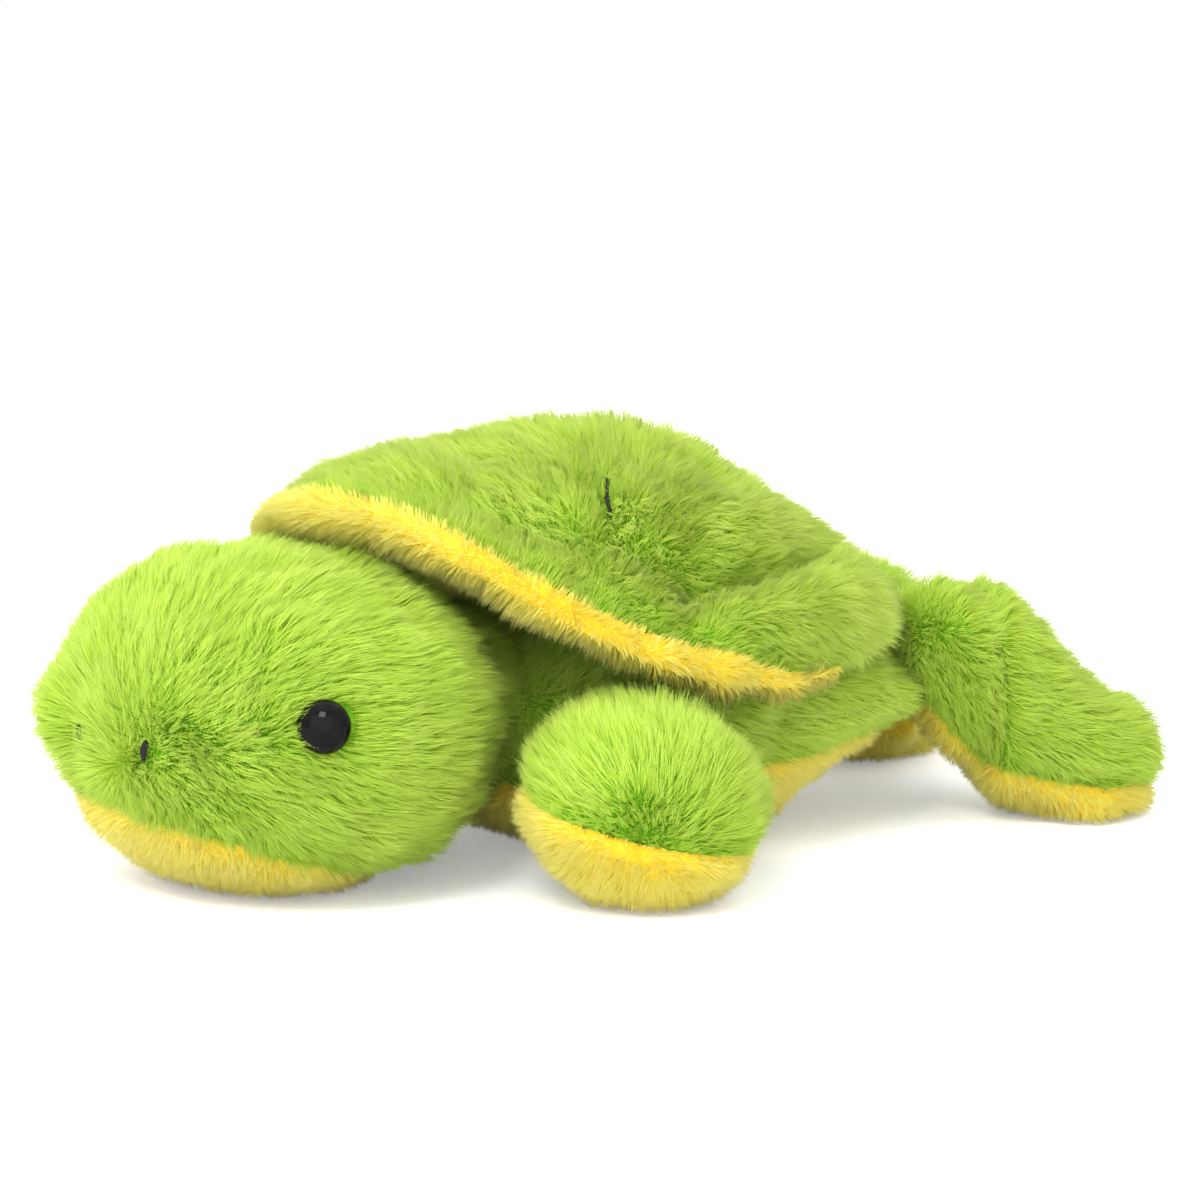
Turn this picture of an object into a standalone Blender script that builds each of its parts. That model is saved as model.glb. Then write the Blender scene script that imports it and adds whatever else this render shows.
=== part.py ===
"""A plush turtle that lies on its chest: pile cloth skins over stuffed forms.

Units are metres, +Z is up, the turtle faces -Y and its left side is +X. Each soft piece is
two cloth skins that meet at a seam, with its filling inside. The head, the legs and the tail
end in round roots that sit in sockets of the torso, so each can be turned where it is sewn on.
"""

import math

import bmesh
import bpy
from mathutils import Matrix, Vector
from mathutils.bvhtree import BVHTree

# Cloth and clearances
PILE_CLOTH = 0.0030
FILLING_GAP = 0.0012
SEAM_GAP = 0.0003
SOCKET_GAP = 0.0007
SEAT_GAP = 0.0016
HARD_GAP = 0.0003
OVERRUN = 0.0040
MERGE = 0.00001
ROUND_STEPS = 18
RING_STEPS = 10
SHARP_ANGLE = math.radians(50)

# Where the middle of the shell lies, so that the origin is under the middle of the whole toy
SHELL_X = -0.0003
SHELL_Y = 0.0030

# Torso
TORSO_WIDTH = 0.104
TORSO_LENGTH = 0.136
TORSO_HEIGHT = 0.065
TORSO_BEHIND = 0.023
TORSO_RAISE = 0.0303
TORSO_FULLNESS = 2.2
TORSO_PITCH = math.radians(1)
TORSO_ROLL = math.radians(1.5)
TORSO_NARROW_SHARE = 0.12
TORSO_TAPER_SHARE = 0.58
CHEST_FULLNESS = 2.0
BELLY_LIFT = 0.005
BELLY_LIFTED_SHARE = 0.40
BELLY_LIFT_DEPTH = 0.009
TORSO_SEAM_RAISE = 0.0202
TORSO_SEAM_PITCH = math.radians(3.3)

# Shell: a cushion whose rim droops along the sides and is lifted where it lies on the head
SHELL_AHEAD = 0.0063
SHELL_WIDTH = 0.144
SHELL_LENGTH = 0.1570
SHELL_CROWN = 0.018
SHELL_LIP = 0.0115
SHELL_FULLNESS = 2.0
LIP_FULLNESS = 3.4
SHELL_STEPS = 28
SHELL_RINGS = 14
SHELL_MIDDLE_RAISE = 0.0825
SHELL_BACK_DROP = 0.008
RIM_RAISE = 0.0570
RIM_TILT = 0.0105
RIM_DROOP = 0.0075
RIM_LIFT = 0.0170
LIFT_BEARING = math.radians(32)
LIFT_SPREAD = math.radians(30)

# Head
HEAD_WIDTH = 0.109
HEAD_LENGTH = 0.095
HEAD_HEIGHT = 0.081
HEAD_FULLNESS = 2.2
HEAD_ASIDE = 0.020
HEAD_AHEAD = 0.094
HEAD_RAISE = 0.039
HEAD_TURN = math.radians(17)
CHIN_SEAM_RAISE = 0.011
CHIN_SEAM_PITCH = math.radians(-15)
NECK_RADIUS = 0.027
NECK_ASIDE = 0.004
NECK_AHEAD = 0.047
NECK_RAISE = 0.034

# Eyes: a dome on a ridged stem, held by a washer behind the cloth
EYE_RADIUS = 0.0062
EYE_DOME = 0.0046
EYE_EDGE = 0.0008
EYE_SINK = 0.0010
EYE_BEARING = math.radians(65)
EYE_LIFT = math.radians(8)
STEM_RADIUS = 0.0016
STEM_LENGTH = 0.0090
RIDGE_HEIGHT = 0.0003
RIDGE_COUNT = 4
WASHER_RADIUS = 0.0068
WASHER_THICKNESS = 0.0014
HARD_STEPS = 12

# Nostrils: satin stitches sewn over the cloth
NOSTRIL_LENGTH = 0.0056
NOSTRIL_WIDTH = 0.0022
NOSTRIL_BEARING = math.radians(16)
NOSTRIL_LIFT = math.radians(0)
STITCH_STEPS = 8

# Front legs
LOBE_FULLNESS = 2.3
JOIN_FULLNESS = 4.0
PAW_WIDTH = 0.058
PAW_HEIGHT = 0.048
PAW_LENGTH = 0.054
PAW_REACH = 0.033
PAW_LEVEL = 0.004
PAW_END_RAISE = 0.0228
PAW_ROOT_RADIUS = 0.0175
PAW_ROOT_SHARES = (0.87, -0.56, -0.14)
PAW_BEARING = math.radians(-18)
PAW_ROLL = math.radians(-12)
PAW_SEAM_RAISE = 0.0165
PAW_SEAM_SLOPE = math.radians(4)
PAW_SEAM_ROLL = math.radians(-14)

# Rear legs
FOOT_WIDTH = 0.047
FOOT_HEIGHT = 0.054
FOOT_LENGTH = 0.054
FOOT_REACH = 0.027
FOOT_LEVEL = 0.0
FOOT_SETTLED = 0.038
FOOT_END_RAISE = 0.0165
FOOT_ROOT_RADIUS = 0.0165
FOOT_ROOT_SHARES = (0.54, 0.905, 0.41)
FOOT_BEARING_LEFT = math.radians(74)
FOOT_BEARING_RIGHT = math.radians(142)
FOOT_ROLL = math.radians(4)
FOOT_SEAM_RAISE = 0.0135
FOOT_SEAM_SLOPE = math.radians(18)
LEG_STEPS = 12
LEG_RINGS = 12
SOCKET_STEPS = 14

# Tail
TAIL_WIDTH = 0.018
TAIL_LENGTH = 0.022
TAIL_REACH = 0.010
TAIL_DROP = 0.004
TAIL_ROOT_RADIUS = 0.0085
TAIL_ROOT_SHARES = (0.0, 0.97, 0.0)

# Pouch of pellets in the torso
POUCH_WIDTH = 0.056
POUCH_LENGTH = 0.070
POUCH_HEIGHT = 0.024
POUCH_RAISE = 0.0105

GREEN = (0.36, 0.62, 0.05)
YELLOW = (0.92, 0.70, 0.06)
FILLING_WHITE = (0.86, 0.86, 0.84)
BLACK = (0.008, 0.008, 0.009)
WASHER_GREY = (0.75, 0.76, 0.77)


def clear_scene():
    for obj in list(bpy.data.objects):
        bpy.data.objects.remove(obj)


def new_collection(name):
    made = bpy.data.collections.new(name)
    bpy.context.scene.collection.children.link(made)
    return made


def plain_material(name, colour, roughness):
    made = bpy.data.materials.new(name)
    made.use_nodes = True
    shader = made.node_tree.nodes["Principled BSDF"]
    shader.inputs["Base Color"].default_value = (*colour, 1.0)
    shader.inputs["Roughness"].default_value = roughness
    return made


def named_object(name, form, material, pivot=None):
    """Make a form a named part, with its origin on the pivot that it turns about."""
    if pivot is not None:
        bmesh.ops.translate(form, verts=form.verts, vec=-pivot.location)
    mesh = bpy.data.meshes.new(name)
    form.to_mesh(mesh)
    form.free()
    mesh.materials.append(material)
    mesh.shade_smooth()
    mesh.set_sharp_from_angle(angle=SHARP_ANGLE)
    obj = bpy.data.objects.new(name, mesh)
    parts.objects.link(obj)
    obj.parent = pivot
    return obj


def cutter_object(name, form):
    mesh = bpy.data.meshes.new(name)
    form.to_mesh(mesh)
    form.free()
    obj = bpy.data.objects.new(name, mesh)
    obj.display_type = "WIRE"
    obj.hide_render = True
    cutters.objects.link(obj)
    return obj


def cut(obj, cutter, operation="DIFFERENCE"):
    made = obj.modifiers.new(cutter.name, "BOOLEAN")
    made.operation = operation
    made.solver = "EXACT"
    made.object = cutter


def add_pivot(name, place):
    made = bpy.data.objects.new(name, None)
    made.location = place
    parts.objects.link(made)
    return made


def unit_sphere(around, rings):
    form = bmesh.new()
    bmesh.ops.create_uvsphere(form, u_segments=around, v_segments=rings, radius=1)
    return form


def cushion(size, fullness, around=ROUND_STEPS, rings=RING_STEPS):
    """A rounded form of this size, which is squarer where its fullness is over 2."""
    form = unit_sphere(around, rings)
    for v in form.verts:
        reach = sum(abs(c) ** fullness for c in v.co) ** (1 / fullness)
        v.co = Vector(c / reach * s / 2 for c, s in zip(v.co, size))
    return form


def ball(radius, centre, around=ROUND_STEPS, rings=RING_STEPS):
    form = unit_sphere(around, rings)
    for v in form.verts:
        v.co = v.co * radius + Vector(centre)
    return form


def place(form, turn, centre):
    for v in form.verts:
        v.co = turn @ v.co + centre


def press_on_floor(form, depth):
    """The toy's weight flattens the cloth that lies on the floor."""
    for v in form.verts:
        v.co.z = max(v.co.z, depth)


def size_inside(size, depth):
    return tuple(s - 2 * depth for s in size)


def sewn_half(form_at, seam_point, seam_normal, above, bend=None):
    """The cloth on one side of a seam: outer face, lining and the edge between them."""
    cloth = bmesh.new()
    shift = seam_normal * (SEAM_GAP / 2 if above else -SEAM_GAP / 2)
    for depth in (0.0, PILE_CLOTH):
        layer = form_at(depth)
        geometry = layer.verts[:] + layer.edges[:] + layer.faces[:]
        bmesh.ops.bisect_plane(
            layer,
            geom=geometry,
            plane_co=seam_point + shift,
            plane_no=seam_normal,
            clear_inner=above,
            clear_outer=not above,
        )
        if bend is not None:
            bend(layer, depth)
        if depth > 0:
            bmesh.ops.reverse_faces(layer, faces=layer.faces)
        held = bpy.data.meshes.new("layer")
        layer.to_mesh(held)
        layer.free()
        cloth.from_mesh(held)
        bpy.data.meshes.remove(held)
    edges = [e for e in cloth.edges if e.is_boundary]
    bmesh.ops.bridge_loops(cloth, edges=edges)
    bmesh.ops.recalc_face_normals(cloth, faces=cloth.faces)
    return cloth


# Torso


def torso_turn():
    return Matrix.Rotation(TORSO_PITCH, 3, "X") @ Matrix.Rotation(-TORSO_ROLL, 3, "Y")


def torso_centre():
    return Vector((SHELL_X, SHELL_Y + TORSO_BEHIND, TORSO_RAISE))


def torso_form(depth):
    """Full and low at the chest, tapered and lifted off the floor towards the rear."""
    form = unit_sphere(ROUND_STEPS, RING_STEPS)
    size = size_inside((TORSO_WIDTH, TORSO_LENGTH, TORSO_HEIGHT), depth)
    for v in form.verts:
        chest_share = max(-v.co.z, 0.0) * max(-v.co.y, 0.0)
        fullness = TORSO_FULLNESS + CHEST_FULLNESS * chest_share
        reach = sum(abs(c) ** fullness for c in v.co) ** (1 / fullness)
        v.co = Vector(c / reach * s / 2 for c, s in zip(v.co, size))
        back_share = max(v.co.y / (TORSO_LENGTH / 2), 0.0)
        v.co.x *= 1 - TORSO_NARROW_SHARE * back_share
        v.co.z *= 1 - TORSO_TAPER_SHARE * back_share
        lift_share = eased(back_share / BELLY_LIFTED_SHARE) * eased(-v.co.z / BELLY_LIFT_DEPTH)
        v.co.z += BELLY_LIFT * lift_share
    place(form, torso_turn(), torso_centre())
    press_on_floor(form, depth)
    return form


def on_torso(shares, side=1):
    """A place on the torso, as shares of its half sizes."""
    half = (TORSO_WIDTH / 2, TORSO_LENGTH / 2, TORSO_HEIGHT / 2)
    place_in = Vector((side * shares[0] * half[0], shares[1] * half[1], shares[2] * half[2]))
    return torso_turn() @ place_in + torso_centre()


def make_torso():
    point = Vector((SHELL_X, SHELL_Y, TORSO_SEAM_RAISE))
    normal = Matrix.Rotation(TORSO_SEAM_PITCH, 3, "X") @ Vector((0, 0, 1))
    back = sewn_half(torso_form, point, normal, True)
    belly = sewn_half(torso_form, point, normal, False)
    return [
        named_object("torso_back_fur", back, green),
        named_object("torso_belly_fur", belly, yellow),
        named_object("torso_stuffing", torso_form(PILE_CLOTH + FILLING_GAP), filling),
    ]


def pouch_form(grow):
    size = (POUCH_WIDTH + 2 * grow, POUCH_LENGTH + 2 * grow, POUCH_HEIGHT + 2 * grow)
    form = cushion(size, TORSO_FULLNESS, LEG_STEPS, LEG_RINGS)
    low = torso_turn() @ Vector((0, 0, POUCH_RAISE - TORSO_HEIGHT / 2))
    place(form, torso_turn(), torso_centre() + low)
    return form


def make_pouch(stuffing):
    """The pouch lies on the belly's lining, in a recess of the filling that is open below."""
    pouch = named_object("bean_pouch", pouch_form(0.0), filling)
    inside = cutter_object("pouch_floor", torso_form(PILE_CLOTH + FILLING_GAP))
    cut(pouch, inside, "INTERSECT")
    cut(stuffing, cutter_object("pouch_recess", pouch_form(FILLING_GAP)))


# Shell


def rim_height(x, y):
    """How high the rim of the shell is in the direction of this place."""
    ahead = SHELL_Y - SHELL_AHEAD - y
    aside = x - SHELL_X
    bearing = math.atan2(aside, ahead)
    height = RIM_RAISE + RIM_TILT * math.cos(bearing) + RIM_DROOP * math.cos(2 * bearing)
    lift = math.exp(-(((bearing - LIFT_BEARING) / LIFT_SPREAD) ** 2) / 2)
    return height + RIM_LIFT * lift


def shell_flat(depth):
    """A flat cushion with a domed top and a fuller, squarer lip below its widest line."""
    form = unit_sphere(SHELL_STEPS, SHELL_RINGS)
    width, length = size_inside((SHELL_WIDTH, SHELL_LENGTH), depth)
    for v in form.verts:
        fullness = SHELL_FULLNESS if v.co.z >= 0 else LIP_FULLNESS
        rise = SHELL_CROWN if v.co.z >= 0 else SHELL_LIP
        across = math.hypot(v.co.x, v.co.y)
        reach = (across**fullness + abs(v.co.z) ** fullness) ** (1 / fullness)
        v.co = v.co / reach
        v.co.x *= width / 2
        v.co.y *= length / 2
        v.co.z *= rise - depth
    return form


def shell_bend(form, depth):
    """Bend a flat cushion to the rim's heights, and lift it where it lies on the torso."""
    seat = BVHTree.FromBMesh(torso_form(0.0))
    down = Vector((0, 0, -1))
    for v in form.verts:
        share = math.hypot(v.co.x / (SHELL_WIDTH / 2), v.co.y / (SHELL_LENGTH / 2))
        lip_share = (1 - min(share, 1.0) ** LIP_FULLNESS) ** (1 / LIP_FULLNESS)
        back_share = max(v.co.y / (SHELL_LENGTH / 2), 0.0)
        middle = SHELL_MIDDLE_RAISE - SHELL_BACK_DROP * back_share**2
        v.co += Vector((SHELL_X, SHELL_Y - SHELL_AHEAD, 0))
        level = middle + share**2 * (rim_height(v.co.x, v.co.y) - middle)
        above = Vector((v.co.x, v.co.y, middle + SHELL_LENGTH))
        hit = seat.ray_cast(above, down)[0]
        if hit is not None:
            level = max(level, hit.z + SEAT_GAP + SHELL_LIP * lip_share)
        v.co.z += level


def make_shell():
    point = Vector((0, 0, 0))
    up = Vector((0, 0, 1))
    top = sewn_half(shell_flat, point, up, True, shell_bend)
    under = sewn_half(shell_flat, point, up, False, shell_bend)
    inside = PILE_CLOTH + FILLING_GAP
    filled = shell_flat(inside)
    shell_bend(filled, inside)
    named_object("shell_top_fur", top, green)
    named_object("shell_under_fur", under, yellow)
    named_object("shell_stuffing", filled, filling)


# Head


def head_centre():
    return Vector((SHELL_X + HEAD_ASIDE, SHELL_Y - HEAD_AHEAD, HEAD_RAISE))


def neck_centre():
    return Vector((SHELL_X + NECK_ASIDE, SHELL_Y - NECK_AHEAD, NECK_RAISE))


def head_turn():
    return Matrix.Rotation(HEAD_TURN, 3, "Z")


def neck_reach(direction, depth):
    """How far the round neck root reaches from the head's centre in this direction, if at all."""
    to_neck = neck_centre() - head_centre()
    along = direction.dot(to_neck)
    beside = to_neck.length_squared - along**2
    room = (NECK_RADIUS - depth) ** 2 - beside
    if along <= 0 or room <= 0:
        return 0.0
    return along + math.sqrt(room)


def head_form(depth):
    size = size_inside((HEAD_WIDTH, HEAD_LENGTH, HEAD_HEIGHT), depth)
    form = cushion(size, HEAD_FULLNESS, ROUND_STEPS + 4, RING_STEPS + 2)
    for v in form.verts:
        out = head_turn() @ v.co
        reach = max(out.length, neck_reach(out.normalized(), depth))
        v.co = head_centre() + out.normalized() * reach
    press_on_floor(form, depth)
    return form


def on_head(bearing, lift, depth=0.0):
    """The place and the outward direction of the head's surface, seen from its centre."""
    level = math.cos(lift)
    ahead = Vector((math.sin(bearing) * level, -math.cos(bearing) * level, math.sin(lift)))
    ahead = head_turn() @ ahead
    surface = BVHTree.FromBMesh(head_form(depth))
    point, normal = surface.ray_cast(head_centre(), ahead)[:2]
    if normal.dot(ahead) < 0:
        normal = -normal
    return point, normal


def turned(name, profile, material, matrix, pivot):
    """A turned piece from its profile, listed down the outer side from top to bottom."""
    form = bmesh.new()
    verts = [form.verts.new((r, 0, z)) for r, z in profile]
    for pair in zip(verts, verts[1:]):
        form.edges.new(pair)
    mesh = bpy.data.meshes.new(name)
    form.to_mesh(mesh)
    form.free()
    mesh.materials.append(material)
    obj = bpy.data.objects.new(name, mesh)
    parts.objects.link(obj)
    obj.parent = pivot
    obj.matrix_local = Matrix.Translation(-pivot.location) @ matrix
    screw = obj.modifiers.new("turn", "SCREW")
    screw.steps = HARD_STEPS
    screw.render_steps = HARD_STEPS
    screw.use_merge_vertices = True
    screw.merge_threshold = MERGE
    screw.use_smooth_shade = True


def hole(name, radius, top, bottom, matrix):
    """A round cutter on the Z axis of this matrix, from its top to its bottom."""
    form = bmesh.new()
    bmesh.ops.create_cone(
        form,
        cap_ends=True,
        segments=HARD_STEPS,
        radius1=radius,
        radius2=radius,
        depth=top - bottom,
    )
    middle = Matrix.Translation((0, 0, (top + bottom) / 2))
    bmesh.ops.transform(form, matrix=matrix @ middle, verts=form.verts)
    return cutter_object(name, form)


def eye_profile():
    seat = -EYE_EDGE
    arc = [math.radians(a) for a in (0, 25, 50, 72, 90)]
    points = [(EYE_RADIUS * math.sin(a), EYE_DOME * math.cos(a)) for a in arc]
    points += [(EYE_RADIUS, seat), (STEM_RADIUS, seat)]
    start = seat - PILE_CLOTH
    pitch = (STEM_LENGTH - PILE_CLOTH) / (RIDGE_COUNT + 1)
    for ridge in range(RIDGE_COUNT):
        level = start - pitch * ridge
        points += [(STEM_RADIUS, level), (STEM_RADIUS + RIDGE_HEIGHT, level - pitch / 2)]
        points += [(STEM_RADIUS, level - pitch)]
    points += [(STEM_RADIUS, seat - STEM_LENGTH), (0, seat - STEM_LENGTH)]
    kept = [points[0]]
    for point in points[1:]:
        if point != kept[-1]:
            kept.append(point)
    return kept


def washer_profile():
    bore = STEM_RADIUS + RIDGE_HEIGHT + HARD_GAP
    face = washer_level()
    back = face - WASHER_THICKNESS
    return [(bore, back), (bore, face), (WASHER_RADIUS, face), (WASHER_RADIUS, back), (bore, back)]


def washer_level():
    """The washer's front, measured from the rim of the dome, pressed a little into the lining."""
    return EYE_SINK - EYE_EDGE - PILE_CLOTH


def make_eye(side, name, fur, stuffing, pivot):
    point, normal = on_head(side * EYE_BEARING, EYE_LIFT)
    facing = normal.to_track_quat("Z", "Y").to_matrix().to_4x4()
    matrix = Matrix.Translation(point - normal * (EYE_SINK - EYE_EDGE)) @ facing
    turned(f"eye_{name}", eye_profile(), black, matrix, pivot)
    turned(f"eye_washer_{name}", washer_profile(), washer_grey, matrix, pivot)
    above = EYE_DOME + OVERRUN
    stem_end = -EYE_EDGE - STEM_LENGTH
    bore = STEM_RADIUS + RIDGE_HEIGHT + HARD_GAP
    wide = WASHER_RADIUS + HARD_GAP
    seat = hole(f"eye_seat_{name}", EYE_RADIUS + HARD_GAP, above, -EYE_EDGE - HARD_GAP, matrix)
    stem = hole(f"stem_hole_{name}", bore, above + OVERRUN, stem_end - OVERRUN, matrix)
    flat = hole(f"washer_seat_{name}", wide, washer_level() + HARD_GAP, stem_end, matrix)
    room = hole(f"washer_room_{name}", wide, above, stem_end - HARD_GAP, matrix)
    for cutter in (seat, stem, flat):
        cut(fur, cutter)
    cut(stuffing, room)


def make_nostril(side, name, fur, pivot):
    point, normal = on_head(side * NOSTRIL_BEARING, NOSTRIL_LIFT)
    facing = normal.to_track_quat("X", "Z").to_matrix()
    for grow, made in ((0.0, named_object), (HARD_GAP, cutter_object)):
        width = NOSTRIL_WIDTH + 2 * grow
        form = cushion((width, width, NOSTRIL_LENGTH + 2 * grow), 2, STITCH_STEPS, STITCH_STEPS)
        place(form, facing, point)
        if grow > 0:
            cut(fur, made(f"nostril_groove_{name}", form))
        else:
            made(f"nostril_stitch_{name}", form, black, pivot)


def make_head():
    pivot = add_pivot("neck_pivot", neck_centre())
    point = head_centre() - Vector((0, 0, HEAD_RAISE - CHIN_SEAM_RAISE))
    normal = head_turn() @ Matrix.Rotation(CHIN_SEAM_PITCH, 3, "X") @ Vector((0, 0, 1))
    top = sewn_half(head_form, point, normal, True)
    chin = sewn_half(head_form, point, normal, False)
    fur = named_object("head_top_fur", top, green, pivot)
    named_object("head_chin_fur", chin, yellow, pivot)
    filled = head_form(PILE_CLOTH + FILLING_GAP)
    stuffing = named_object("head_stuffing", filled, filling, pivot)
    for side, name in ((1, "left"), (-1, "right")):
        make_eye(side, name, fur, stuffing, pivot)
        make_nostril(side, name, fur, pivot)


# Legs and tail


def eased(share):
    share = min(max(share, 0.0), 1.0)
    return share * share * (3 - 2 * share)


def joined(ball_part, lobe_part, grown):
    """One smooth outline over the root and the lobe, but the bare ball inside the socket."""
    parts_sum = ball_part**JOIN_FULLNESS + (lobe_part * grown) ** JOIN_FULLNESS
    return parts_sum ** (1 / JOIN_FULLNESS)


def limb_straight(depth, root_radius, reach, size):
    """A round root and a longer lobe on the X axis. The root is a true ball round its socket."""
    length, width, height = size_inside(size, depth)
    radius = root_radius - depth
    tip = reach + length / 2
    form = unit_sphere(LEG_STEPS, LEG_RINGS)
    for v in form.verts:
        along = (tip - radius) / 2 + v.co.z * (tip + radius) / 2
        ball_part = math.sqrt(max(1 - (along / radius) ** 2, 0.0)) * radius
        past = min(abs(along - reach) / (length / 2), 1.0)
        lobe_share = (1 - past**LOBE_FULLNESS) ** (1 / LOBE_FULLNESS)
        grown = eased(2 * along / radius)
        wide = joined(ball_part, lobe_share * width / 2, grown)
        high = joined(ball_part, lobe_share * height / 2, grown)
        across = Vector((v.co.x, v.co.y)).normalized()
        v.co = Vector((along, across.y * wide, -across.x * high))
    return form


def limb_bend(form, depth, root, settle, bearing, roll):
    """Roll and aim a straight limb. It is level near its root, then sinks until it has settled."""
    aim = Matrix.Rotation(bearing, 3, "Z") @ Matrix.Rotation(roll, 3, "X")
    start, end, drop = settle
    for v in form.verts:
        sink = drop * eased((v.co.x - start) / (end - start))
        v.co = aim @ v.co + root - Vector((0, 0, sink))
    press_on_floor(form, depth)


def make_limb(name, root, root_radius, reach, size, settle, bearing, roll):
    """The filled form of a limb, and what its skins are sewn from."""
    pivot = add_pivot(f"{name}_pivot", root)

    def form_at(depth):
        form = limb_straight(depth, root_radius, reach, size)
        limb_bend(form, depth, root, settle, bearing, roll)
        return form

    named_object(f"{name}_stuffing", form_at(PILE_CLOTH + FILLING_GAP), filling, pivot)
    return pivot, form_at


def make_leg(name, root, root_radius, reach, size, settle, bearing, roll, seam):
    """A leg whose seam plane slopes down along the leg, and rolls with it."""
    pivot, form_at = make_limb(name, root, root_radius, reach, size, settle, bearing, roll)
    seam_raise, slope, seam_roll = seam
    aim = Matrix.Rotation(bearing, 3, "Z")
    point = root + aim @ Vector((reach, 0, 0))
    point.z = seam_raise
    tilt = Matrix.Rotation(slope, 3, "Y") @ Matrix.Rotation(seam_roll, 3, "X")
    normal = aim @ tilt @ Vector((0, 0, 1))
    named_object(f"{name}_fur", sewn_half(form_at, point, normal, True), green, pivot)
    named_object(f"{name}_sole", sewn_half(form_at, point, normal, False), yellow, pivot)


def mirrored_bearing(bearing, side):
    return bearing if side > 0 else math.pi - bearing


def make_front_leg(side, name):
    root = on_torso(PAW_ROOT_SHARES, side)
    size = (PAW_LENGTH, PAW_WIDTH, PAW_HEIGHT)
    settle = (PAW_LEVEL, PAW_REACH, root.z - PAW_END_RAISE)
    bearing = mirrored_bearing(PAW_BEARING, side)
    roll = side * PAW_ROLL
    seam = (PAW_SEAM_RAISE, PAW_SEAM_SLOPE, side * PAW_SEAM_ROLL)
    name = f"front_leg_{name}"
    make_leg(name, root, PAW_ROOT_RADIUS, PAW_REACH, size, settle, bearing, roll, seam)
    return (f"{name}_socket", root, PAW_ROOT_RADIUS)


def make_rear_leg(side, name, bearing):
    root = on_torso(FOOT_ROOT_SHARES, side)
    size = (FOOT_LENGTH, FOOT_WIDTH, FOOT_HEIGHT)
    settle = (FOOT_LEVEL, FOOT_SETTLED, root.z - FOOT_END_RAISE)
    roll = side * FOOT_ROLL
    seam = (FOOT_SEAM_RAISE, FOOT_SEAM_SLOPE, 0.0)
    name = f"rear_leg_{name}"
    make_leg(name, root, FOOT_ROOT_RADIUS, FOOT_REACH, size, settle, bearing, roll, seam)
    return (f"{name}_socket", root, FOOT_ROOT_RADIUS)


def make_legs():
    sockets = [make_front_leg(1, "left"), make_front_leg(-1, "right")]
    sockets.append(make_rear_leg(1, "left", FOOT_BEARING_LEFT))
    sockets.append(make_rear_leg(-1, "right", FOOT_BEARING_RIGHT))
    return sockets


def make_tail():
    root = on_torso(TAIL_ROOT_SHARES)
    size = (TAIL_LENGTH, TAIL_WIDTH, TAIL_WIDTH)
    settle = (0.0, TAIL_REACH, TAIL_DROP)
    back = math.radians(90)
    made = make_limb("tail", root, TAIL_ROOT_RADIUS, TAIL_REACH, size, settle, back, 0.0)
    pivot, form_at = made
    mouth = root - Vector((0, TAIL_ROOT_RADIUS / 2, 0))
    along = Vector((0, 1, 0))
    named_object("tail_fur", sewn_half(form_at, mouth, along, True), green, pivot)
    return ("tail_socket", root, TAIL_ROOT_RADIUS)


def cut_sockets(torso, sockets):
    """Hollow the torso where the neck, the legs and the tail sit in it."""
    flat_share = math.cos(math.radians(180 / SOCKET_STEPS))
    for name, centre, radius in sockets:
        room = (radius + SOCKET_GAP) / flat_share
        cutter = cutter_object(name, ball(room, centre, SOCKET_STEPS, SOCKET_STEPS))
        for obj in torso:
            cut(obj, cutter)


clear_scene()
parts = new_collection("plush_turtle")
cutters = new_collection("cutters")
green = plain_material("green_pile", GREEN, 0.9)
yellow = plain_material("yellow_pile", YELLOW, 0.9)
filling = plain_material("filling", FILLING_WHITE, 0.95)
black = plain_material("black", BLACK, 0.12)
washer_grey = plain_material("washer_grey", WASHER_GREY, 0.5)

torso_pieces = make_torso()
make_shell()
make_head()
neck_socket = ("neck_socket", neck_centre(), NECK_RADIUS)
leg_sockets = make_legs()
tail_socket = make_tail()
cut_sockets(torso_pieces, [neck_socket, tail_socket, *leg_sockets])
make_pouch(torso_pieces[2])
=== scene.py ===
"""The look of the plush turtle: sewn cloth panels, real pile, glossy eyes and satin stitches.

Lengths are in metres, unless a comment says millimetres. Each stuffed form repeats the outline
of its solid, its cloth lies a few millimetres inside it, and the pile stands a little proud of it.
"""

import math
from collections import namedtuple

import bmesh
import bpy
import numpy as np
from mathutils import Matrix, Vector
from mathutils.bvhtree import BVHTree
from mathutils.kdtree import KDTree


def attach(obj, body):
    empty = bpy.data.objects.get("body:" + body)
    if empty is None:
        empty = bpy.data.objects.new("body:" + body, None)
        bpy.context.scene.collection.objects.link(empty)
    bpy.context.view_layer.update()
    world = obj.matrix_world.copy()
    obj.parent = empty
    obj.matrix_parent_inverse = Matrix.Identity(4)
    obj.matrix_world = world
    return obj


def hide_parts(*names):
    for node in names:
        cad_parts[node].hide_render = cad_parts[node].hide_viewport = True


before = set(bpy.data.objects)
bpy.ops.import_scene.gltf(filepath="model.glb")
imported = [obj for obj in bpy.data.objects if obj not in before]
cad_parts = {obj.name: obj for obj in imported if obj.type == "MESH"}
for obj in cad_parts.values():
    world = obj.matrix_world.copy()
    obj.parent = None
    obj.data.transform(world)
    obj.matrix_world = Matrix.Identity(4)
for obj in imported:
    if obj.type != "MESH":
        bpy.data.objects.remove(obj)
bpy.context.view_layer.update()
MM = 0.001

# The camera, by which the creases are placed where the photograph shows them
AIM = Vector((-0.0003, 0.0030, 0.057))
AZIMUTH, ELEVATION = math.radians(65), math.radians(9.4)
DISTANCE, LENS, SENSOR, PHOTO_SIDE = 1.0, 121.0, 36.0, 1200

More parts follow.
